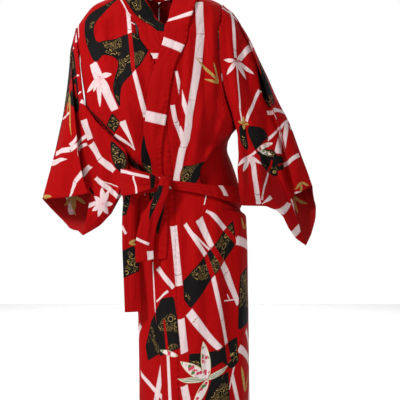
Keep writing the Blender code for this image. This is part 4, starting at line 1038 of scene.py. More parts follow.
BODY_PRINT = {
    # streams and bands: corners of black patches; bars and stalks: column, row, half width in
    # millimetres at both ends; leaves: root, half width, kind, tips; those beside are given in the
    # cloth's own measures, which run on round the side and over the shoulder
    -1: {
        "streams": (
            ((120, -2), (103, 14), (94, 28), (98, 42), (118, 38), (137, 34), (149, 47),
             (138, 67), (122, 86), (120, 107), (113, 88), (118, 62), (104, 55),
             (95, 62), (86, 42), (86, 20), (103, 6)),
            ((144, 135), (151, 156), (157, 178), (146, 178), (141, 157)),
            ((121, 192), (131, 192), (132, 212), (123, 224)),
        ),
        "bands": (
            ((112, 113), (120.5, 122), (115, 133), (106.5, 126)),
            ((163, 300), (166, 350), (148, 361), (145.5, 346), (151, 322)),
        ),
        "bar": (
            (88, 107, 1.6, 101, 121, 2.4), (101, 121, 2.4, 114, 136, 2.8), (114, 136, 2.8, 128, 157, 2.4),
        ),
        "stalk": (
            (126, -4, 4, 130, 36, 4.5), (130, 36, 4.5, 133, 68, 4.5), (133, 68, 4.5, 146, 117, 6),
            (93, 63, 12, 98.5, 77, 12), (103, 84, 10, 115, 110, 9), (122, 121, 10, 135, 150, 1.2),
            (79.5, 21, 3, 79, 38, 1.5), (123, 207, 4, 124, 217, 4), (141, 373, 6, 164, 399, 6.5),
            (140, 470, 8, 158, 584, 8),
        ),
        "crossing": (
            (131, 22.5, 1.6, 136.5, 25, 1.6), (114.5, 135, 6, 135, 150, 2.5),
            (120, 171, 3, 122, 178, 3), (156, 302, 2, 168, 291, 3), (164, 360, 6, 144, 470, 5),
        ),
        "leaf": (
            (100, 77, 6.5, 0, ((87, 93), (93.5, 92), (100, 107.5), (110, 90), (112, 74), (91, 69))),
        ),
        "gold": (
            (150, 430, 5, 0, ((144, 404), (158, 408), (164, 424))),
        ),
        "behind": {
            "streams": (
                ((86, 24), (106, 30), (126, 50), (118, 80), (98, 104), (106, 76), (100, 54)),
                ((146, 196), (176, 216), (170, 262), (150, 310), (156, 262), (142, 226)),
                ((180, 360), (190, 400), (166, 450), (146, 480), (150, 430), (164, 392)),
            ),
            "stalk": (
                (138, -4, 8, 132, 70, 9), (132, 70, 9, 150, 170, 7), (168, 180, 9, 176, 330, 8),
                (176, 330, 8, 160, 584, 9),
            ),
            "crossing": (
                (80, 60, 5, 150, 120, 5), (130, 150, 4, 186, 250, 5), (186, 300, 5, 144, 380, 6),
            ),
            "leaf": (
                (146, 108, 8, 0, ((128, 120), (136, 134), (150, 138), (158, 118))),
                (160, 340, 8, 0, ((144, 352), (152, 370), (166, 372), (176, 352))),
            ),
            "flower": (
                (164, 500, 11, 0, ((148, 484), (158, 468), (176, 476), (172, 524))),
                (164, 500, 6, 1, ((144, 508), (186, 504))),
            ),
        },
        "beside": {
            "streams": (
                ((130, 482), (113, 500), (108, 545), (122, 592), (131, 562), (121, 530)),
                ((132, -392), (114, -410), (108, -450), (124, -496), (130, -470), (122, -436)),
            ),
            "stalk": (
                (126, 286, 7, 113, 470, 7.5), (113, 470, 7.5, 121, 664, 8),
                (115, -300, 7, 127, -500, 7.5), (127, -500, 7.5, 117, -700, 8),
            ),
            "crossing": ((139, 352, 4.5, 105, 424, 4.5), (132, -330, 4.5, 105, -392, 4.5)),
            "leaf": (
                (117, 422, 7, 0, ((107, 438), (112, 452), (123, 450), (131, 436))),
                (120, -560, 7, 0, ((108, -574), (114, -588), (126, -588), (132, -572))),
            ),
            "gold": ((112, 620, 4.5, 0, ((122, 604), (128, 616), (124, 630))),),
        },
    },
    1: {
        "streams": (
            ((183, 167), (193, 165), (205, 162), (200, 176), (192, 185), (180, 181)),
        ),
        "bands": (
            ((233, 220), (236.5, 243), (213, 277), (191, 309), (184, 300), (183, 281),
             (208, 252), (224, 230)),
            ((240, 275), (246.5, 266), (248, 320), (238, 330), (238.5, 300)),
            ((189, 354), (206, 352.5), (222, 348), (237, 336), (239, 361), (232, 369),
             (222, 362), (208, 370), (189, 369)),
            ((212, 378), (228, 371), (230, 402), (216, 420), (204, 402)),
            ((161, 299), (174, 296), (177.5, 320), (180.5, 348), (158, 357)),
            ((236, 440), (246, 470), (222, 520), (204, 552), (198, 520), (218, 480)),
        ),
        "stalk": (
            (199, 2, 9.5, 200.5, 34, 9.5), (200.5, 34, 9.8, 198.5, 58, 10),
            (198.5, 58, 10, 192, 100, 8), (192, 100, 8, 176.5, 181, 8), (173.5, 226, 7.5, 179, 286, 8),
            (185, 224, 4, 206, 256, 4.2), (206, 256, 4.2, 213, 277, 4.2),
            (213, 277, 4.2, 226, 343, 4.5), (226, 343, 4.5, 229, 362, 4.5), (206, 211, 4, 236, 241, 4),
            (235.5, 240, 7, 248, 247, 7), (181, 319, 7.5, 184.5, 353, 8), (184, 386, 8, 191, 420, 8),
            (238.5, 348, 6, 249, 364, 6), (232, 376, 4, 239, 408, 4), (200, 430, 9, 216, 584, 9),
        ),
        "crossing": (
            (176, 71, 3.2, 180, 90, 4.5), (180, 90, 5, 188.5, 117, 5.5), (172.5, 105, 5, 176, 122, 5.5),
            (176, 122, 6, 184.5, 147, 7), (219, 157, 1.5, 235, 181, 1.8), (199, 219, 8, 212, 247, 4.5),
            (212, 247, 4.5, 221.5, 262, 5), (221.5, 262, 6.5, 226, 273, 6.5),
            (226, 273, 6.5, 238.5, 304, 4), (189, 312, 9, 195, 320, 9), (195, 320, 9, 220.5, 349, 5),
            (184.5, 225, 1.8, 210, 250, 1.8), (224, 301, 1.2, 237, 299, 1.2),
            (227, 294, 0.8, 229.5, 300, 1), (234, 367, 2.2, 229, 390, 1.6), (246, 400, 5, 190, 500, 6),
        ),
        "leaf": (
            (222, 448, 8, 0, ((208, 462), (216, 478), (232, 470), (240, 452))),
        ),
        "gold": (
            (218.5, 83.5, 3.2, 0, ((195, 57), (213.5, 62), (204, 79))),
            (244, 229, 3, 0, ((241, 217), (247, 216))), (245, 392, 5, 0, ((241, 366), (248, 370))),
        ),
        "flower": (
            (208, 379, 11, 0, ((203, 341), (180, 361), (193, 408))),
            (206, 379, 6.5, 1, ((178, 379), (228, 365))),
        ),
        "behind": {
            "streams": (
                ((232, 30), (214, 24), (200, 44), (206, 74), (224, 104), (216, 72), (220, 48)),
                ((196, 230), (214, 250), (210, 300), (228, 350), (226, 300), (232, 262)),
                ((204, 420), (230, 440), (236, 500), (214, 540), (218, 490), (206, 456)),
            ),
            "stalk": (
                (178, -6, 9, 184, 90, 9), (184, 90, 9, 176, 176, 8), (220, 190, 8, 206, 380, 9),
                (206, 380, 9, 214, 584, 9),
            ),
            "crossing": (
                (228, 70, 5, 166, 130, 5), (190, 200, 5, 244, 300, 5), (240, 330, 5, 196, 420, 6),
            ),
            "leaf": (
                (206, 120, 8, 0, ((190, 132), (198, 150), (214, 148), (222, 130))),
                (232, 392, 8, 0, ((218, 404), (226, 420), (240, 416))),
            ),
            "gold": ((190, 200, 4, 0, ((180, 180), (194, 176), (204, 186))),),
            "flower": (
                (212, 520, 11, 0, ((198, 500), (214, 488), (230, 506))),
                (212, 520, 6, 1, ((194, 526), (234, 528))),
            ),
        },
        "beside": {
            "streams": (
                ((262, 500), (279, 516), (285, 560), (270, 610), (258, 582), (268, 546)),
                ((256, -400), (276, -420), (284, -462), (268, -508), (260, -478), (268, -442)),
            ),
            "stalk": (
                (262, 290, 7, 277, 480, 7.5), (277, 480, 7.5, 267, 664, 8),
                (276, -300, 7, 262, -500, 7.5), (262, -500, 7.5, 273, -700, 8),
            ),
            "crossing": ((250, 366, 4.5, 287, 434, 4.5), (258, -334, 4.5, 287, -396, 4.5)),
            "leaf": (
                (271, 434, 7, 0, ((256, 450), (265, 464), (278, 462), (285, 446))),
                (268, -566, 7, 0, ((255, -580), (263, -594), (276, -592), (283, -576))),
            ),
            "gold": ((276, 632, 4.5, 0, ((264, 616), (260, 630), (266, 644))),),
        },
    },
}
BODY_CREASES = {
    # column, row, column, row, width in drawing units, depth in millimetres
    -1: (
        (112, 4, 122, 104, 4, -4.9), (102, 16, 108, 96, 4.5, 4.3), (128, 10, 143, 120, 4, 4.3),
        (136, 80, 150, 168, 5, -5.2), (122, 96, 142, 164, 4, 4.6), (96, 92, 136, 156, 4, -4.9),
        (90, 66, 118, 136, 4.5, 4.3), (88, 24, 91, 84, 4, -2.8), (143, 60, 150, 130, 3, -2.4),
        (128, 195, 133, 330, 4.5, -4.3), (136, 215, 142, 380, 4.5, 2.8), (146, 240, 149, 420, 4, -4.3),
    ),
    1: (
        (204, 6, 206, 150, 4, -5.2), (212, 4, 215, 120, 4, 4.6), (191, 14, 186, 116, 3.6, 2.8),
        (183, 50, 178, 160, 3.4, -4.3), (221, 20, 214, 150, 4.5, -5.2), (208, 80, 190, 178, 5, 4.9),
        (199, 90, 184, 180, 3.4, -2.8), (229, 106, 206, 160, 4, 4.6), (224, 110, 200, 166, 3.6, -4.6),
        (186, 214, 188, 380, 4, -4.6), (195, 205, 199, 330, 5, 4.9), (204, 205, 210, 460, 4.5, -4.9),
        (214, 205, 224, 400, 5, 5.5), (224, 215, 231, 430, 4.5, -5.2), (238, 205, 241, 420, 4, 4.6),
        (222, 380, 226, 584, 5, 4.9), (198, 380, 204, 584, 5, 4.9), (189, 420, 192, 584, 4.5, -4.3),
        (212, 440, 214, 584, 4.5, -4.6),
    ),
}
BACK_CREASES = (
    (118, 16, 136, 172, 4.5, -4.9), (202, 16, 188, 172, 4.5, -4.9), (148, 16, 158, 160, 5, 2.8),
    (178, 24, 177, 160, 5, 2.8), (100, 56, 132, 178, 5, 4.6), (221, 56, 204, 178, 5, 4.6),
    (140, 190, 144, 380, 5, 4.3), (150, 186, 156, 430, 4.5, -4.9), (172, 186, 176, 500, 5, 4.9),
    (188, 190, 190, 380, 4, -4.3), (200, 186, 204, 420, 5, 4.6), (221, 186, 228, 520, 4.5, -4.9),
    (240, 200, 242, 460, 4.5, 4.3), (162, 380, 166, 584, 5, -4.6), (212, 420, 216, 584, 5, 4.6),
)
# Place on each chest where the print is true to the drawing.
BODY_MIDDLE = {-1: (112.0, 90.0), 1: (205.0, 90.0)}
for side, name in ((-1, "cloth_body_right"), (1, "cloth_body_left")):
    front, yoke, back = fronts[side]
    whole = back[::-1] + yoke[::-1] + front
    piece = cloth_sheet(name, whole, side, front=BODY_CREASES[side], back=BACK_CREASES)
    piece["half"] = int(np.argmax(piece["points"][:, piece["points"].shape[1] // 2, 2]))
    straight_print(piece, *BODY_MIDDLE[side], side)
    rolled_in(piece, ("first", "last"))
    fields = printed(piece, BODY_PRINT[side])
    fields["seam"] = sewn_edges(piece, sewn=("first", "last"), hemmed=("top", "bottom"))
    item = cloth_object(piece, fields, (cotton, cotton_reverse))
    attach(item, "root")
    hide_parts("body_left" if side > 0 else "body_right")


# Overlap strips: a half width of the same cotton, sewn to the front edge of each front so that the
# robe closes well over the middle. The left strip's hemmed edge is the edge that shows.

OVERLAP_RIGHT_EDGE = (
    # row, column of the strip's free edge, hidden under the left front
    (178, 184), (200, 197), (250, 212), (313, 222), (400, 227), (584, 230),
)
OVERLAP_LEFT_EDGE = (
    # row, column of the strip's free edge, the front edge of the robe
    (112, 164), (140, 160.5), (176, 158), (200, 157), (230, 154), (262, 151.7),
    (300, 152.8), (350, 157.5), (400, 161), (584, 166),
)

OVERLAP_COLUMNS = 4
OVERLAP_RIGHT_START = 188.0
OVERLAP_LEFT_START = 112.0


def overlap_grid(side, first, edge):
    grid = []
    for row in (row for row in FRONT_ROWS if row >= first):
        layer = LAYER_STEP * FRONT_LAYERS[side]
        level = slanted(row, side, 0.0)
        seam = read(INNER_EDGES[side], drawn(level, FRONT_DEPTH)) - side * SEAM_GAP * DRAWING_UNITS
        start = angle_at(row, read(edge, drawn(row, FRONT_DEPTH)), layer)
        end = angle_at(row, seam, layer)
        line = []
        for j in range(OVERLAP_COLUMNS + 1):
            angle = mix(start, end, j / OVERLAP_COLUMNS)
            line.append(front_point(row, angle, side, FRONT_LAYERS[side]))
        grid.append(line)
    return grid


OVERLAP_PRINT = {
    -1: {
        "streams": (((178, 230), (204, 236), (210, 300), (190, 360), (182, 300)),),
        "stalk": ((196, 380, 8, 214, 584, 9),),
    },
    1: {
        "bands": (
            ((161, 299), (174, 296), (177.5, 320), (180.5, 348), (158, 357), (148, 361),
             (145.5, 346), (151, 322)),
            ((176, 402), (188, 414), (184, 450), (168, 470), (164, 440)),
        ),
        "stalk": (
            (173.5, 226, 7.5, 179, 286, 8), (158, 268, 6, 173.5, 288, 5),
            (164, 320, 2.2, 168, 356, 3.5), (168, 356, 3.5, 171, 420, 3.8), (171, 480, 7, 178, 584, 7),
        ),
        "crossing": (
            (152.6, 262, 1.6, 155, 310, 1.6), (155, 310, 1.6, 160.5, 400, 1.6),
            (156, 302, 2, 168, 291, 3), (150, 312, 2, 155, 306.5, 2),
        ),
        "gold": ((163, 253, 4, 0, ((153, 240), (161, 238), (156, 252))),),
        "flower": (
            (178, 356, 6, 0, ((160, 350),)), (206, 379, 6.5, 1, ((177, 379),)),
        ),
    },
}
OVERLAP_CREASES = (
    (166, 205, 164, 330, 3.6, 2.8), (172, 206, 171, 380, 3, -2.8), (158.5, 240, 160, 400, 3, -2.6),
    (169, 350, 172, 560, 3.6, 2.6),
)
OVERLAP_MIDDLE = {-1: (196.0, 300.0), 1: (168.0, 300.0)}
for side, name, first, edge in (
    (-1, "cloth_overlap_right", OVERLAP_RIGHT_START, OVERLAP_RIGHT_EDGE),
    (1, "cloth_overlap_left", OVERLAP_LEFT_START, OVERLAP_LEFT_EDGE),
):
    piece = cloth_sheet(name, overlap_grid(side, first, edge), side, front=OVERLAP_CREASES)
    straight_print(piece, *OVERLAP_MIDDLE[side], side)
    rolled_in(piece, ("last",))
    fields = printed(piece, OVERLAP_PRINT[side])
    fields["seam"] = sewn_edges(piece, sewn=("last",), hemmed=("first", "bottom"))
    item = cloth_object(piece, fields, (cotton, cotton_reverse))
    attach(item, "root")
    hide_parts("overlap_left" if side > 0 else "overlap_right")


# Collar: one folded band of the same cotton, sewn down the right front edge, round the back of the
# neck and down the left front edge, with fine puckers along its seam.

# Collar stations: where it is sewn to the body and where its free edge runs.
COLLAR_UNDER = (
    # row, sewn column, free column
    (34, 138, 166), (45, 145, 173), (62, 155, 181), (95, 169, 192), (125, 177, 198),
    (150, 178.5, 198.5), (165, 176, 196), (178, 174, 194), (200, 177, 197), (240, 186, 205),
)
COLLAR_OVER = (
    # row, sewn column, free column
    (34, 188.8, 164.5), (45, 185, 161.5), (57, 178.5, 158), (71, 174, 153.3),
    (87, 170.6, 149), (112, 167.3, 146), (133, 164, 144.3), (150, 162, 147),
    (162, 161.5, 151), (176, 163, 152), (200, 167, 147), (230, 168, 148), (256, 166, 151),
)
# Free edge of the collar from one front over the shoulders and round the back of the neck.
COLLAR_FREE_RIGHT = (
    # turn over the shoulder in degrees, column, row, depth y
    (0, 164, 30, -0.09),
    (30, 152, 10, -0.077),
    (60, 143, -6, -0.052),
    (90, 137.5, -17, -0.012),
    (105, 138, -21, 0.014),
    (120, 145.5, -24, 0.04),
    (135, 158, -25.5, 0.053),
)
COLLAR_FREE_LEFT = (
    # turn over the shoulder in degrees, column, row, depth y
    (0, 166, 30, -0.097),
    (30, 170, 10, -0.085),
    (60, 175.5, -6, -0.056),
    (90, 179.5, -17, -0.012),
    (105, 178.5, -21, 0.014),
    (120, 170.5, -24, 0.04),
    (135, 158, -25.5, 0.053),
)

COLLAR_COLUMNS = 3
COLLAR_UNDER_ROWS = (240, 220, 200, 188, 178, 165, 150, 136, 122, 108, 94, 80, 68, 56, 44, 34)
COLLAR_OVER_ROWS = (34, 44, 56, 68, 80, 94, 108, 122, 136, 150, 162, 174, 186, 200, 215, 235, 256)
COLLAR_UNDER_LAYERS = 3.0
COLLAR_OVER_LAYERS = 5.1
COLLAR_CLEARANCE = 0.0054  # the collar's middle lies this far over the cloth that it is sewn to
COLLAR_OVERLAP = 0.0035  # width of panel under the sewn edge
COLLAR_LEAN = 0.35  # how far the sewn edge moves sideways as it moves out over the shoulder


def collar_row(table, row, layers):
    line = []
    seen = drawn(row, FRONT_DEPTH)
    start = angle_at(row, read(table, seen, 1), LAYER_STEP * layers)
    end = angle_at(row, read(table, seen, 2), LAYER_STEP * layers)
    for j in range(COLLAR_COLUMNS + 1):
        line.append(section_point(row, mix(start, end, j / COLLAR_COLUMNS), LAYER_STEP * layers))
    return line


def neck_row(front, back, side, degrees, free_table):
    """Collar section over the shoulder: from the body's neck edge, moved out, to the free edge."""
    turn = math.radians(degrees)
    edge = yoke_row(front, back, side, degrees)
    away = Vector((side * COLLAR_LEAN, -math.cos(turn), math.sin(turn))).normalized()
    across = (edge[1] - edge[0]).normalized()
    sewn = edge[0] + away * COLLAR_CLEARANCE
    if degrees < NECK_TURN:
        sewn += across * COLLAR_OVERLAP
    free = place(read(free_table, degrees, 1), read(free_table, degrees, 2), read(free_table, degrees, 3))
    return [sewn.lerp(free, j / COLLAR_COLUMNS) for j in range(COLLAR_COLUMNS + 1)]


def collar_grid(bodies):
    grid = [collar_row(COLLAR_UNDER, row, COLLAR_UNDER_LAYERS) for row in COLLAR_UNDER_ROWS]
    for side, table in ((-1, COLLAR_FREE_RIGHT), (1, COLLAR_FREE_LEFT)):
        front, back = bodies[side][0][0], bodies[side][2][0]
        degrees = [15.0 * step for step in range(1, 10)]
        if side == 1:
            degrees = degrees[-2::-1]
        grid += [neck_row(front, back, side, turn, table) for turn in degrees]
    grid += [collar_row(COLLAR_OVER, row, COLLAR_OVER_LAYERS) for row in COLLAR_OVER_ROWS]
    return grid


COLLAR_RED = (0.385, 0.0008, 0.0015, 1.0)

COLLAR_PRINT = {
    "stalk": (
        (168, 20.8, 5.3, 194, 12.3, 5.3), (160, 39.8, 9, 184, 49.5, 9),
        (144, 115.3, 11.5, 168, 120.7, 11.5),
    ),
    "bands": (((148, 186), (160, 182), (166, 200), (158, 236), (150, 216)),),
    "behind": {
        "bands": (
            ((125, -5), (138, -8), (153, 12), (166, 32), (157, 31), (144, 22), (130, 8)),
        ),
        "stalk": (
            (146.5, -3, 4, 129, 15.5, 5), (152, 56, 7, 160, 56, 7), (178, 190, 8, 196, 196, 8),
        ),
    },
}
COLLAR_CREASES = (
    (166, 50, 159, 110, 2.4, -1.2), (156, 96, 151, 165, 2.4, 1.2), (172, 36, 165, 84, 2, 1.1),
    (161, 110, 156, 176, 2, -1.1),
)
collar_cotton = make_cotton("collar_cotton", COLLAR_RED)
COLLAR_STEP = 0.0034  # distance between the points of the collar's cloth
COLLAR_THICK = 0.0019  # it is folded, so thicker than the body
piece = cloth_sheet(
    "cloth_collar", collar_grid(fronts), -1.0, step=COLLAR_STEP, front=COLLAR_CREASES, even=True
)
piece["half"], piece["folded"] = len(piece["points"]) // 2, True
rolled_in(piece, ("first",))
fields = printed(piece, COLLAR_PRINT)
fields["seam"] = sewn_edges(piece, sewn=("first",))
item = cloth_object(piece, fields, (collar_cotton, collar_cotton), thick=COLLAR_THICK)
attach(item, "root")
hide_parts("collar")


# Sleeves: a wide length of cotton each, folded over the arm, sewn into the upper armhole, open at
# the underarm and at the wide mouth. The long pouch under the arm hangs in one deep fold.

# Sleeve outlines: the upper fold, the lower fold, both armhole edges and both edges of the mouth.
SLEEVE_RIGHT_TOP = (
    # column, row, depth y
    (77, 29.5, 0), (71, 50, -0.002), (69.5, 71, -0.004), (67.6, 89, -0.006),
    (64, 115, -0.01), (56, 153, -0.016), (48.5, 182, -0.022), (44, 199, -0.026),
)
SLEEVE_RIGHT_BOTTOM = (
    # column, row, depth y
    (126, 190, -0.066), (121, 196, -0.06), (112, 213, -0.046), (101, 225, -0.036),
    (92, 230.5, -0.03), (84, 235, -0.026),
)
SLEEVE_RIGHT_MOUTH_FRONT = (
    # column, row
    (44, 199), (58, 198.5), (74, 197), (92.5, 193), (91, 205), (88, 220), (84, 235),
)
SLEEVE_RIGHT_MOUTH_BACK = (
    # column, row
    (84, 235), (78, 230.5), (71, 229.5), (62, 220), (52, 209.5), (44, 199),
)
SLEEVE_LEFT_TOP = (
    # column, row, depth y
    (223, 6.5, 0), (236, 17, -0.002), (250, 41, -0.006), (257, 57, -0.01),
    (266, 76, -0.014), (276, 100, -0.02), (287, 122, -0.028), (297, 150, -0.04),
    (305, 172, -0.05), (309.5, 186, -0.056),
)
SLEEVE_LEFT_BOTTOM = (
    # column, row, depth y
    (241, 205.5, -0.178), (252, 205.5, -0.168), (264, 205.5, -0.15), (275, 209.5, -0.128),
    (281, 215, -0.112), (287, 228, -0.096), (294, 238, -0.084), (303, 244, -0.074),
)
SLEEVE_LEFT_MOUTH_FRONT = (
    # column, row
    (309.5, 186), (304, 189), (298, 192), (290.5, 195), (292, 208), (296, 226), (303, 244),
)
SLEEVE_LEFT_MOUTH_BACK = (
    # column, row
    (303, 244), (309, 234), (314, 219), (314.5, 208), (312, 198), (309.5, 186),
)

SLEEVE_STATIONS = 14
STRIP_COLUMNS = 4
RECESS_COLUMNS = 5  # between the deep fold and the line from the underarm, and as many below it
BACK_COLUMNS = 5  # the same on the back of the sleeve
UNDERARM_AT_MOUTH = (0.80, 0.60)  # where that line meets the mouth, front and back
SEAM_STEP = {-1: 0.0018, 1: 0.0012}  # the sleeve's edge stands this far from the armhole's edge
SEAM_LEVEL = 60.0  # below this row the step widens towards the underarm
SEAM_SPREAD = 1.4  # by this share of itself at the underarm
SPREAD = {-1: (0.046, 0.034), 1: (0.030, 0.032)}  # half depths of both mouths, to the front and to the back
STRIP = {-1: (0.06, 0.53), 1: (0.03, 0.28)}  # place of the deep fold at the armhole and at the mouth
PLEAT = {-1: 0.024, 1: 0.020}  # depth of the deep fold
BULGE = {-1: 0.006, 1: 0.008}  # roundness of the cloth between its edges
PLEAT_START = 0.45  # share of the sleeve's length over which the deep fold opens
STRIP_CROWD = 0.8  # below 1 sets the columns of the outer strip closer to the deep fold
TURNED_PLACE = 0.80  # the cloth turned in behind the fold lies at this share of the strip's width
TURNED_DEPTH = 0.55  # and at this share of the fold's depth
RECESS_START = 0.97  # the recess starts at this share of the strip's width
RECESS_CROWD = 1.2  # above 1 sets the columns of the recess closer to the fold
RECESS_FADE = 0.8  # below 1 brings the recess forward faster towards the bottom
MOUTH_ROUND = 0.7  # below 1 makes the sleeve's mouth fuller towards its corners


def armhole(rows, last, side):
    """Armhole edge of the body from the shoulder down to the underarm, moved off by the seam."""
    points = [line[-1].copy() for line in rows]
    kept = [p for p in points if p.z > to_z(last)]
    for p in kept:
        low = smooth((to_z(SEAM_LEVEL) - p.z) / (to_z(SEAM_LEVEL) - to_z(last)))
        p.x += side * SEAM_STEP[side] * (1.0 + SEAM_SPREAD * low)
    return kept


def by_length(points, t):
    """Point at the share t of the length of a polyline."""
    reached = [0.0]
    for a, b in zip(points, points[1:]):
        reached.append(reached[-1] + (b - a).length)
    at = t * reached[-1]
    for i in range(len(points) - 1):
        if at <= reached[i + 1] or i == len(points) - 2:
            span = reached[i + 1] - reached[i]
            return points[i].lerp(points[i + 1], (at - reached[i]) / span)


def sleeve_point(edges, t, w, shape):
    """Point of a sheet bounded by four edges; t runs from the armhole to the mouth, w from fold to fold."""
    top, bottom, arm, mouth = edges
    a, b = top(t), bottom(t)
    c, d = arm(w), mouth(w)
    corner = top(0.0) * ((1 - t) * (1 - w)) + top(1.0) * (t * (1 - w))
    corner += bottom(0.0) * ((1 - t) * w) + bottom(1.0) * (t * w)
    point = a * (1 - w) + b * w + c * (1 - t) + d * t - corner
    point.y += shape * math.sin(math.pi * w) * math.sin(math.pi * t)
    return point


def mouth_curve(table, start_y, end_y, bulge):
    """Edge of the mouth from its outline, bulging to the front or back between its two ends."""
    points = [place(c, r, 0.0) for c, r in table]
    total = sum((b - a).length for a, b in zip(points, points[1:]))
    length = 0.0
    for i, p in enumerate(points):
        if i:
            length += (Vector((p.x, 0, p.z)) - Vector((points[i - 1].x, 0, points[i - 1].z))).length
        share = min(1.0, length / total)
        p.y = mix(start_y, end_y, share) + bulge * math.sin(math.pi * share) ** MOUTH_ROUND
    return points


def fold_curve(table):
    """Points along a fold, from their columns, rows and depths."""
    return [place(c, r, y) for c, r, y in table]


def share_of(points, count):
    """Share of a polyline's length that its first points make up."""
    steps = [(b - a).length for a, b in zip(points, points[1:])]
    return sum(steps[:count - 1]) / sum(steps)


def sleeve_grid(top, bottom, arm_front, arm_back, mouth_front, mouth_back, corners, side):
    """Rings of a sleeve from the armhole to the mouth; corners are the underarm's places on both edges."""
    strip, pleat, bulge = STRIP[side], PLEAT[side], BULGE[side]

    def edges(arm, mouth):
        return (
            lambda t: by_length(top, t),
            lambda t: by_length(bottom, t),
            lambda w: by_length(arm, w),
            lambda w: by_length(mouth, w),
        )

    front, back = edges(arm_front, mouth_front), edges(arm_back, mouth_back)
    grid = []
    for k in range(SLEEVE_STATIONS + 1):
        t = k / SLEEVE_STATIONS
        fold = mix(strip[0], strip[1], t)
        depth = pleat * smooth(t / PLEAT_START)
        ring = []
        for j in range(STRIP_COLUMNS + 1):
            w = fold * (j / STRIP_COLUMNS) ** STRIP_CROWD
            ring.append(sleeve_point(front, t, w, -bulge))
        turned = sleeve_point(front, t, fold * TURNED_PLACE, -bulge)
        turned.y += depth * TURNED_DEPTH
        ring.append(turned)
        start = fold * RECESS_START
        corner = mix(corners[0], UNDERARM_AT_MOUTH[0], t)
        recess = [mix(start, corner, (j / RECESS_COLUMNS) ** RECESS_CROWD) for j in range(RECESS_COLUMNS)]
        recess += [mix(corner, 1.0, j / RECESS_COLUMNS) for j in range(RECESS_COLUMNS + 1)]
        for w in recess:
            point = sleeve_point(front, t, w, -bulge)
            point.y += depth * (1.0 - (w - start) / (1.0 - start)) ** RECESS_FADE
            ring.append(point)
        corner = mix(corners[1], UNDERARM_AT_MOUTH[1], t)
        rising = [mix(1.0, corner, j / BACK_COLUMNS) for j in range(1, BACK_COLUMNS)]
        rising += [mix(corner, 0.0, j / BACK_COLUMNS) for j in range(BACK_COLUMNS)]
        for w in rising:
            ring.append(sleeve_point(back, t, w, bulge))
        grid.append(ring)
    return grid


RIGHT_FREE_EDGE = (
    # column, row, lift: front edge of the right sleeve under the armhole, beside the open front
    (94, 121, 0.013), (105, 133, 0.016), (119, 146.5, 0.018), (127.5, 157, 0.022),
    (128.5, 170, 0.025), (127.5, 181, 0.026),
)
RIGHT_BACK_EDGE = (
    # angle, row, lift: back edge of the right sleeve under the armhole, outside the body
    (-104, 122, 0.01), (-94, 136, 0.016), (-84, 152, 0.021), (-76, 168, 0.024),
    (-68, 181, 0.026),
)
LEFT_FREE_EDGE = (
    # column, row, depth y: front edge of the left sleeve from the underarm to the wrist
    (237.5, 136, -0.082), (238.5, 152, -0.118), (237.5, 170, -0.16), (238.5, 184, -0.19),
    (239.5, 195, -0.2),
)
LEFT_BACK_EDGE = (
    # column, row, depth y: back edge of the left sleeve from the underarm to the wrist
    (243, 136, 0.018), (245, 152, -0.014), (246, 168, -0.054), (246, 184, -0.1),
    (244, 197, -0.142),
)


def sleeve_right_grid(bodies):
    front, yoke, back = bodies[-1]
    half = len(yoke) // 2
    top = fold_curve(SLEEVE_RIGHT_TOP)
    bottom = fold_curve(SLEEVE_RIGHT_BOTTOM)
    arm_front = armhole(yoke[half - 1::-1] + front, UNDERARM_ROW_RIGHT, -1)
    arm_back = armhole(yoke[half + 1:] + back, UNDERARM_ROW_RIGHT, -1)
    seams = len(arm_front) + 1, len(arm_back) + 1
    for column, row, lift in RIGHT_FREE_EDGE:
        arm_front.append(point_at(row, column, lift))
    for angle, row, lift in RIGHT_BACK_EDGE:
        arm_back.append(section_point(row, angle, lift))
    arm_front = [top[0]] + arm_front + [bottom[0]]
    arm_back = [top[0]] + arm_back + [bottom[0]]
    mouth_front = mouth_curve(SLEEVE_RIGHT_MOUTH_FRONT, top[-1].y, bottom[-1].y, -SPREAD[-1][0])
    mouth_back = mouth_curve(SLEEVE_RIGHT_MOUTH_BACK[::-1], top[-1].y, bottom[-1].y, SPREAD[-1][1])
    corners = share_of(arm_front, seams[0]), share_of(arm_back, seams[1])
    grid = sleeve_grid(top, bottom, arm_front, arm_back, mouth_front, mouth_back, corners, -1)
    return grid


def sleeve_left_grid(bodies):
    front, yoke, back = bodies[1]
    half = len(yoke) // 2
    top = fold_curve(SLEEVE_LEFT_TOP)
    bottom = fold_curve(SLEEVE_LEFT_BOTTOM)
    arm_front = armhole(yoke[half - 1::-1] + front, UNDERARM_ROW_LEFT, 1)
    arm_back = armhole(yoke[half + 1:] + back, UNDERARM_ROW_LEFT_BACK, 1)
    seams = len(arm_front) + 1, len(arm_back) + 1
    arm_front = [top[0]] + arm_front + fold_curve(LEFT_FREE_EDGE) + [bottom[0]]
    arm_back = [top[0]] + arm_back + fold_curve(LEFT_BACK_EDGE) + [bottom[0]]
    mouth_front = mouth_curve(SLEEVE_LEFT_MOUTH_FRONT, top[-1].y, bottom[-1].y, -SPREAD[1][0])
    mouth_back = mouth_curve(SLEEVE_LEFT_MOUTH_BACK[::-1], top[-1].y, bottom[-1].y, SPREAD[1][1])
    corners = share_of(arm_front, seams[0]), share_of(arm_back, seams[1])
    grid = sleeve_grid(top, bottom, arm_front, arm_back, mouth_front, mouth_back, corners, 1)
    return grid


SLEEVE_BOTTOM = STRIP_COLUMNS + 1 + 2 * RECESS_COLUMNS + 1  # place in a ring of the fold at the bottom


def opened(grid):
    """Rings that start and end at the bottom fold, where the sleeve is sewn shut."""
    return [ring[SLEEVE_BOTTOM:] + ring[:SLEEVE_BOTTOM + 1] for ring in grid]


STEP_SMOOTH = 5  # columns over which the direction of the print's lines is evened out
FACING_SHARP = 3.0  # how soon cloth that turns round a fold counts as facing the other way


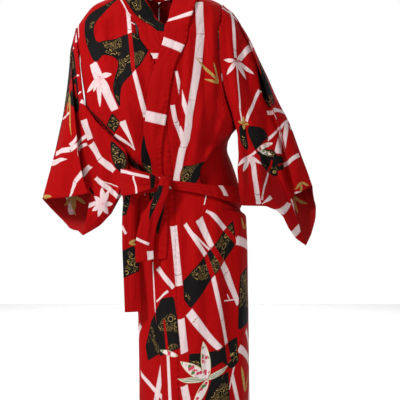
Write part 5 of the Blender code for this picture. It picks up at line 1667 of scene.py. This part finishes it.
def evened(steps, reach):
    """Each of these steps averaged with its neighbours."""
    padded = np.concatenate([steps[:1]] * reach + [steps] + [steps[-1:]] * reach)
    return sum(padded[k:k + len(steps)] for k in range(2 * reach + 1)) / (2 * reach + 1)


def unrolled_from(sheet, anchor):
    """Print measures of a tube of cloth, true to the drawing at one line of it and carried on round."""
    points = np.swapaxes(sheet["points"], 0, 1)
    facing = -np.swapaxes(sheet["normal"], 0, 1)[..., 1:2]
    seen = np.stack(seen_at(points), axis=-1) / DRAWING_UNITS
    line = evened(np.diff(seen[anchor], axis=0), STEP_SMOOTH)
    line = line / np.linalg.norm(line, axis=1, keepdims=True)
    fold = np.concatenate([line, line[-1:]])[None]
    steps = np.diff(seen, axis=0)
    face = np.clip((facing[:-1] + facing[1:]) / 2.0 * FACING_SHARP, -1.0, 1.0)
    along = (steps * fold).sum(axis=2, keepdims=True) * fold
    turned = evened((steps - along) * face + along * np.abs(face), STEP_SMOOTH)
    turned = turned / np.maximum(np.linalg.norm(turned, axis=2, keepdims=True), 1e-9)
    turned = turned * np.linalg.norm(np.diff(points, axis=0), axis=2, keepdims=True)
    away = np.concatenate([np.zeros((1,) + turned.shape[1:]), np.cumsum(turned, axis=0)])
    return np.swapaxes(seen[anchor:anchor + 1] + away - away[anchor:anchor + 1], 0, 1)


def unrolled_print(sheet, outer, inner):
    """Print of a sleeve: one side of the deep fold measured from the outer strip, the other from inside."""
    first, second = nearest(sheet, *outer)[1], nearest(sheet, *inner)[1]
    turned = -sheet["normal"][..., 1].mean(axis=0)
    split = first + int(np.argmin(turned[first:second]))
    sheet["print"] = unrolled_from(sheet, first)
    sheet["print"][:, split:] = unrolled_from(sheet, second)[:, split:]


SLEEVE_PRINT = {
    -1: {
        "streams": (
            ((82, 49), (86.5, 62), (85.5, 74), (82, 71), (81, 58)),
            ((111, 141), (120, 148), (127.5, 163), (121, 173), (112.5, 160)),
        ),
        "bar": ((90, 188, 3, 93.5, 194, 3),),
        "stalk": (
            (56, 154, 6, 70, 149.5, 6), (70, 149.5, 6, 87, 144, 3.5), (90.5, 166, 6, 75, 182, 5),
            (75, 182, 5, 70, 197, 2), (92, 143, 8, 100, 158.6, 8), (100, 158.6, 8, 114, 171, 7),
            (96, 177.5, 5.5, 122, 194, 5.5), (52, 210, 5, 75, 212, 5), (75, 212, 5, 83.5, 203.5, 5),
            (83.5, 203.5, 5, 99, 202, 5), (83, 120, 7, 91, 139, 7), (73, 86, 9, 74, 97, 9),
            (74, 47.5, 3.5, 72, 51, 3.5), (80, 20, 3, 77, 42, 3),
        ),
        "crossing": (
            (69.5, 81.5, 1.8, 79, 75, 1.8), (62.5, 117, 3, 70, 112, 3), (70, 145.5, 4.5, 87, 135, 4),
            (80.5, 101, 4, 88.5, 104.5, 4), (76, 98, 1.5, 81, 91.5, 1.5), (98, 180, 1.2, 118, 187, 1.2),
        ),
        "gold": (
            (69.5, 94, 2.6, 0, ((71.5, 137), (67, 116), (74, 112))),
            (43.5, 196, 4.5, 0, ((52, 196.5), (50, 200))),
        ),
        "leaf": (
            (103, 204, 6, 0, ((102, 187), (109, 190), (113, 204), (108, 214), (98, 217),
                                      (92, 211), (94, 196))),
        ),
        "behind": {
            "streams": (
                ((70, 50), (82, 70), (88, 110), (80, 146), (74, 112), (72, 80)),
            ),
            "stalk": (
                (90, 60, 9, 70, 130, 8), (70, 130, 8, 62, 190, 8), (60, 130, 6, 110, 196, 6),
            ),
            "leaf": ((88, 150, 8, 0, ((76, 160), (84, 176), (98, 174), (102, 156))),),
            "gold": ((74, 196, 4.5, 0, ((64, 206), (76, 216), (86, 204))),),
        },
    },
    1: {
        "streams": (
            ((256, 62), (265, 74), (273.5, 98), (270, 108), (262, 92)),
            ((239, 127), (245.5, 128), (248, 150), (241, 143)),
            ((248, 127), (262, 128), (268, 140), (259, 155), (252, 143)),
            ((263, 151), (278, 155), (282, 171), (270, 174), (261, 163)),
        ),
        "stalk": (
            (225, 7, 4.5, 235.5, 58, 3), (267, 113, 5, 283, 104, 5), (286.5, 122, 6.5, 276, 153, 6.5),
            (280, 166, 5, 299, 155, 5), (246, 158, 3.5, 239.5, 204, 3.5), (252, 157, 6, 258.5, 204, 6),
            (259.5, 90, 4, 246.5, 121.5, 4), (298, 192, 8, 304, 210, 8), (304, 210, 8, 304, 221, 8),
            (304, 221, 8, 291, 235, 8),
        ),
        "crossing": (
            (222, 8, 4, 234, 13.4, 4), (236.4, 62, 1.8, 242, 123, 1.6), (251, 47, 7.5, 239, 60, 6),
            (291, 199, 1.5, 297, 219, 1.5), (277, 212, 6, 289, 203, 6), (262, 204, 1, 271, 197, 5),
            (272, 160, 2, 262, 200, 2),
        ),
        "leaf": (
            (236.4, 61.5, 5, 0, ((223.5, 60), (226.5, 75), (246, 80), (254.5, 74.5), (247, 50))),
            (249, 156, 5, 0, ((237, 167), (243, 172), (255, 172), (262, 165))),
        ),
        "gold": (
            (243.5, 123.5, 3.2, 0, ((238, 121), (249, 124.5), (243, 116), (244, 130))),
            (301, 182, 3.2, 0, ((309, 186), (301, 194), (294, 190))),
        ),
        "flower": (
            (257, 149, 5.5, 0, ((273, 143), (272, 155))),
        ),
        "behind": {
            "streams": (
                ((236, 40), (252, 60), (264, 100), (282, 140), (262, 128), (246, 92)),
            ),
            "stalk": (
                (232, 30, 9, 262, 90, 8), (262, 90, 8, 300, 186, 8), (296, 130, 6, 256, 180, 6),
            ),
            "leaf": ((276, 150, 8, 0, ((262, 158), (268, 176), (284, 178))),),
            "gold": ((294, 196, 4.5, 0, ((284, 206), (298, 214), (308, 204))),),
        },
    },
}
SLEEVE_CREASES = {
    -1: (
        (44, 193, 70, 188, 1.5, -2), (46, 187, 66, 180, 1.6, 1.8), (52, 182, 74, 178, 1.5, -1.4),
        (71, 56, 66, 160, 3.4, -2.8), (76, 44, 76, 150, 3.4, 2.6), (67, 120, 60, 198, 4.5, 4.6),
        (74, 120, 72, 198, 4, -4.3), (82, 110, 86, 196, 3.4, 4.3), (92, 112, 108, 176, 3.6, 4.3),
        (88, 128, 100, 200, 3.4, -4.9), (98, 150, 106, 215, 3.6, 5.2), (110, 150, 114, 205, 3.4, -4.3),
        (70, 204, 84, 234, 4, -2.4),
    ),
    1: (
        (239, 20, 254, 118, 4, -4.6), (229, 30, 240, 124, 4, 4.3), (225, 16, 230, 106, 3, -2.8),
        (248, 40, 262, 112, 4, 4.3), (246, 104, 250, 198, 3.6, -4.9), (240, 126, 243, 200, 3, 2.6),
        (256, 120, 262, 204, 3.6, 4.6), (265, 110, 272, 206, 3.6, -4.6), (275, 120, 284, 212, 4, 4.6),
        (272, 84, 292, 180, 3.6, -2.8), (282, 88, 301, 180, 4, 2.6), (294, 196, 303, 242, 3.6, -4.3),
        (240, 198, 272, 202, 2.6, 1.6),
    ),
}
# Places on the outer strip and beyond the deep fold where the print is true to the drawing.
SLEEVE_PLACES = {-1: ((66.0, 130.0), (100.0, 166.0)), 1: ((287.0, 142.0), (256.0, 142.0))}
for side, name, make in (
    (-1, "cloth_sleeve_right", sleeve_right_grid),
    (1, "cloth_sleeve_left", sleeve_left_grid),
):
    piece = cloth_sheet(name, opened(make(fronts)), -side, ring=True, front=SLEEVE_CREASES[side])
    unrolled_print(piece, *SLEEVE_PLACES[side])
    rolled_in(piece, ("top",))
    fields = printed(piece, SLEEVE_PRINT[side])
    fields["seam"] = sewn_edges(piece, sewn=("top",), hemmed=("bottom",))
    item = cloth_object(piece, fields, (cotton, cotton_reverse))
    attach(item, "root")
    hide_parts("sleeve_left" if side > 0 else "sleeve_right")


# Belt: a long soft band of the same cotton, folded double and stitched along its edge, wound round
# the waist over the closed robe and tied in a half bow: one loop to the right, two hanging ends.

# Belt line round the waist over the closed robe.
BELT_LINE = (
    # angle, row of the middle, half width in drawing units, distance outside the body in metres
    (-180, 180, 9.5, 0.005),
    (-130, 172, 9.5, 0.005),
    (-90, 167, 9, 0.006),
    (-66, 167, 7.5, 0.011),
    (-48, 169.5, 5.5, 0.015),
    (-24, 177, 4.2, 0.0215),
    (-8, 184, 4.2, 0.022),
    (14, 189.5, 5, 0.0218),
    (40, 194, 7.5, 0.0195),
    (70, 196, 9, 0.0165),
    (90, 196, 9.5, 0.012),
    (130, 190, 9.5, 0.005),
    (180, 180, 9.5, 0.005),
)

# Hanging ends and bow loop: each row is one place along the band.
TAIL_LONG = (
    # column, row, depth y, half width, tilt in degrees, cup in metres
    (157.9, 187.5, -0.133, 4, -88, 0),
    (147, 188.5, -0.121, 4.5, -84, 0.001),
    (138.5, 190.5, -0.111, 5.5, -66, 0.002),
    (133, 196, -0.109, 6.5, -38, 0.003),
    (130.5, 205, -0.108, 7.3, -12, 0.004),
    (129.8, 222, -0.108, 7.5, -2, 0.005),
    (130, 242, -0.109, 7.6, 0, 0.005),
    (131, 264, -0.109, 7.8, 1, 0.004),
    (132.2, 288, -0.108, 8, 2, 0.004),
    (133.2, 312, -0.107, 8.1, 3, 0.003),
)
TAIL_SHORT = (
    # column, row, depth y, half width, tilt in degrees, cup in metres
    (165, 180, -0.1503, 4.6, -10, 0.003),
    (163.5, 189, -0.1522, 5.2, -22, 0.003),
    (159.5, 199, -0.152, 6, -26, 0.003),
    (154, 210, -0.1505, 7.2, -20, 0.004),
    (148.5, 223, -0.148, 8.2, -10, 0.004),
    (145.5, 238, -0.146, 8.6, -3, 0.004),
    (144.5, 251, -0.1455, 8.7, 0, 0.004),
    (144.6, 261, -0.1455, 8.6, 12, 0.003),
)
LOOP = (
    # column, row, lift outside the body, half width
    (157.4, 183, 0.042, 4.5),
    (151, 182.5, 0.052, 7),
    (141, 183, 0.059, 9.5),
    (132, 183.5, 0.057, 11.5),
    (125, 183, 0.052, 12.5),
    (121, 182.5, 0.044, 12.5),
    (123, 182, 0.037, 12),
    (130, 182, 0.034, 11),
    (139, 182, 0.033, 9),
    (148, 182, 0.033, 6.5),
    (155.5, 182.5, 0.034, 4.5),
)
KNOT = (
    # share along the knot, half width, half depth, in metres
    (0, 0.006, 0.005), (0.12, 0.011, 0.009), (0.34, 0.0136, 0.0112), (0.52, 0.012, 0.0098),
    (0.7, 0.0134, 0.011), (0.88, 0.0106, 0.009), (1, 0.0058, 0.0048),
)
KNOT_TOP = (167.5, 177.0, -0.1374)
KNOT_END = (161.0, 192.0, -0.1374)
KNOT_SIDES = 14
KNOT_STEPS = 10

BELT_STEPS = 52
BELT_COLUMNS = 3
TAIL_COLUMNS = 4
LOOP_COLUMNS = 4


def belt_band_grid():
    grid = []
    for j in range(BELT_COLUMNS + 1):
        ring = []
        for k in range(BELT_STEPS):
            angle = -180.0 + 360.0 * k / BELT_STEPS
            row = read(BELT_LINE, angle, 1) + (2.0 * j / BELT_COLUMNS - 1.0) * read(BELT_LINE, angle, 2)
            ring.append(section_point(row, angle, read(BELT_LINE, angle, 3)))
        grid.append(ring)
    return grid


def tail_grid(stations):
    """Hanging end of the belt, its width turning as the band turns down from the knot."""
    grid = []
    for column, row, y, half, tilt, cup in stations:
        middle = place(column, row, y)
        turn = math.radians(tilt)
        across = Vector((math.cos(turn), 0.0, math.sin(turn))) * (half / DRAWING_UNITS)
        line = []
        for j in range(TAIL_COLUMNS + 1):
            s = 2.0 * j / TAIL_COLUMNS - 1.0
            line.append(middle + across * s + Vector((0.0, cup * s * s, 0.0)))
        grid.append(line)
    return grid


def loop_grid():
    grid = []
    for column, row, lift, half in LOOP:
        line = []
        for j in range(LOOP_COLUMNS + 1):
            s = 2.0 * j / LOOP_COLUMNS - 1.0
            middle = point_at(row, column, lift)
            line.append(middle + Vector((0.0, 0.0, -s * half / DRAWING_UNITS)))
        grid.append(line)
    return grid


KNOT_RIPPLE = 0.05  # waviness of the knot's section


def knot_grid():
    """Rings along the knot, drawn together to a point at both ends."""
    top, end = place(*KNOT_TOP), place(*KNOT_END)
    axis = (end - top).normalized()
    side = Vector((0.0, 1.0, 0.0)).cross(axis).normalized()
    grid = []
    for i in range(KNOT_STEPS + 1):
        share = i / KNOT_STEPS
        wide, deep = read(KNOT, share, 1), read(KNOT, share, 2)
        ring = []
        for k in range(KNOT_SIDES + 1):
            turn = 2.0 * math.pi * (k % KNOT_SIDES) / KNOT_SIDES
            ripple = 1.0 + KNOT_RIPPLE * math.cos(3.0 * turn + 2.0 * share)
            offset = side * (math.cos(turn) * wide * ripple)
            offset += Vector((0.0, math.sin(turn) * deep * ripple, 0.0))
            ring.append(top.lerp(end, share) + offset)
        grid.append(ring)
    return [[top] * (KNOT_SIDES + 1)] + grid + [[end] * (KNOT_SIDES + 1)]


BELT_RED = (0.37, 0.0007, 0.0014, 1.0)

belt_cotton = make_cotton("belt_cotton", BELT_RED, rumple=1.3)
BELT_PRINT = {
    "belt_band": {
        "stalk": (
            (121, 159.5, 4, 138, 169, 6), (138, 169, 6, 158, 179, 4), (215, 186, 6, 240, 200, 6),
        ),
        "bar": ((182, 183, 5, 200, 190, 5),),
        "behind": {"stalk": ((150, 166, 6, 170, 192, 6), (206, 166, 6, 226, 196, 6))},
    },
    "belt_tail_long": {
        "bands": (
            ((122, 251), (133, 246), (139, 251), (139, 271), (122, 279)),
            ((122, 197), (131, 195), (130, 204), (126, 215), (122, 216)),
        ),
        "gold": ((129, 243, 3, 0, ((137, 239), (137, 245))),),
        "stalk": ((122, 226, 3, 126, 234, 3),),
    },
    "belt_tail_short": {
        "bands": (((156, 184), (163, 186), (155, 208), (149, 222), (151, 204)),),
        "stalk": (
            (136, 238.5, 3, 149, 244.2, 3), (150, 251, 7, 151, 264, 7),
        ),
    },
    "belt_loop": {
        "bands": (((150, 168), (156, 170), (154.5, 186), (150.5, 194)),),
        "stalk": ((133.5, 176, 2.4, 137, 204, 2.4), (138, 208, 4, 150, 200, 4)),
        "crossing": ((121, 171, 4, 149, 177.5, 3),),
    },
    "belt_knot": {
        "bar": ((170, 178, 6, 168, 190, 6),),
        "stalk": ((163, 176, 1.6, 158, 190, 1.6),),
    },
}
BELT_CREASES = {
    "belt_band": (
        (124, 161, 160, 178, 1.6, -2.2), (122, 165, 158, 182, 1.6, 1.6), (172, 184, 210, 192, 1.8, -1.8),
    ),
    "belt_tail_long": ((127, 196, 129, 305, 2, -2.2), (133.5, 196, 134, 290, 2, 1.6)),
    "belt_tail_short": ((151, 198, 146, 260, 2, 2), (157, 190, 148, 250, 1.8, -2.2)),
    "belt_loop": (
        (122, 188, 158, 184, 2, -2.4), (124, 178, 152, 180, 2, 1.8), (124, 197, 150, 190, 2, 1.6),
    ),
    "belt_knot": ((164, 174, 160, 192, 1.4, -1.6), (168, 176, 166, 190, 1.4, -1.4)),
}
BELT_STEP = 0.0022
BELT_THICK = 0.0017
for node, grid, sign, ring in (
    ("belt_band", belt_band_grid(), -1.0, True),
    ("belt_tail_long", tail_grid(TAIL_LONG), 1.0, False),
    ("belt_tail_short", tail_grid(TAIL_SHORT), 1.0, False),
    ("belt_loop", loop_grid(), 1.0, False),
    ("belt_knot", knot_grid(), 1.0, True),
):
    if node == "belt_band":
        grid = [line + line[:1] for line in grid]
    front = BELT_CREASES[node]
    piece = cloth_sheet("cloth_" + node, grid, sign, ring=ring, step=BELT_STEP, front=front, even=True)
    fields = printed(piece, BELT_PRINT[node])
    fields["seam"] = sewn_edges(piece, hemmed=("top", "bottom") if ring else ("first", "last"))
    item = cloth_object(piece, fields, (belt_cotton, belt_cotton), thick=BELT_THICK)
    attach(item, "root")
    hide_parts(node)


# Floor, light and camera of a plain bright studio: a pale floor under the robe, one soft main light
# from the upper left, a weak fill light, light from behind and a white wall behind.

FLOOR_DROP = 0.002  # the floor lies this far under the hem
FLOOR_SIZE = 7.0  # half its width
FLOOR_WHITE = 0.9
SENSOR = 36.0
VIEW_WIDTH = 400.0 / DRAWING_UNITS
floor_height = cad_box[0][2] - FLOOR_DROP
shape = bmesh.new()
bmesh.ops.create_grid(shape, x_segments=2, y_segments=2, size=FLOOR_SIZE)
bmesh.ops.translate(shape, verts=shape.verts, vec=(0.0, 0.0, floor_height))
floor_mesh = bpy.data.meshes.new("floor")
shape.to_mesh(floor_mesh)
shape.free()
floor = bpy.data.objects.new("floor", floor_mesh)
bpy.context.scene.collection.objects.link(floor)
pale = bpy.data.materials.new("pale floor")
pale.use_nodes = True
shader = pale.node_tree.nodes["Principled BSDF"]
shader.inputs["Base Color"].default_value = (FLOOR_WHITE, FLOOR_WHITE, FLOOR_WHITE, 1.0)
shader.inputs["Roughness"].default_value = 0.9
floor_mesh.materials.append(pale)


def soft_light(name, power, size, place, target):
    """Round soft light at a place, turned towards its target."""
    light = bpy.data.lights.new(name, "AREA")
    light.shape = "DISK"
    light.size = size
    light.energy = power
    item = bpy.data.objects.new(name, light)
    bpy.context.scene.collection.objects.link(item)
    item.location = place
    item.rotation_euler = (Vector(target) - Vector(place)).to_track_quat("-Z", "Y").to_euler()


soft_light("key light", 66.0, 0.7, (-1.7, -1.7, 1.3), (0.0, 0.0, -0.4))
soft_light("fill light", 10.0, 1.6, (1.6, -3.0, 0.6), (0.0, 0.0, -0.5))
soft_light("back light", 26.0, 2.0, (0.4, 2.6, 1.4), (0.0, 0.0, -0.5))
soft_light("background light", 170.0, 3.0, (0.0, 5.0, 2.5), (0.0, 5.2, -1.4))

# The room: dim in front of the robe, a bright pale wall behind it.
ROOM_DIM = 0.34
ROOM_BRIGHT = 1.0
WALL_START = 0.55  # cosine of the angle from straight behind at which the wall begins
WALL_FULL = 0.90
world = bpy.data.worlds.new("studio")
world.use_nodes = True
tree = world.node_tree
way = tree.nodes.new("ShaderNodeTexCoord")
wall = tree.nodes.new("ShaderNodeMapRange")
wall.interpolation_type = "SMOOTHSTEP"
tree.links.new(apart(tree, way.outputs["Generated"])[1], wall.inputs["Value"])
for socket, value in zip(wall.inputs[1:5], (WALL_START, WALL_FULL, ROOM_DIM, ROOM_BRIGHT)):
    socket.default_value = value
tree.nodes["Background"].inputs["Color"].default_value = (1.0, 1.0, 1.0, 1.0)
tree.links.new(wall.outputs["Result"], tree.nodes["Background"].inputs["Strength"])
bpy.context.scene.world = world
bpy.context.scene.view_settings.view_transform = "Standard"

camera = bpy.data.cameras.new("camera")
camera.sensor_width = SENSOR
camera.lens = SENSOR * VIEW_DISTANCE / VIEW_WIDTH
viewer = bpy.data.objects.new("camera", camera)
bpy.context.scene.collection.objects.link(viewer)
viewer.location = (to_x(VIEW_CENTRE), -VIEW_DISTANCE, to_z(VIEW_CENTRE))
viewer.rotation_euler = (math.radians(90.0), 0.0, 0.0)
bpy.context.scene.camera = viewer
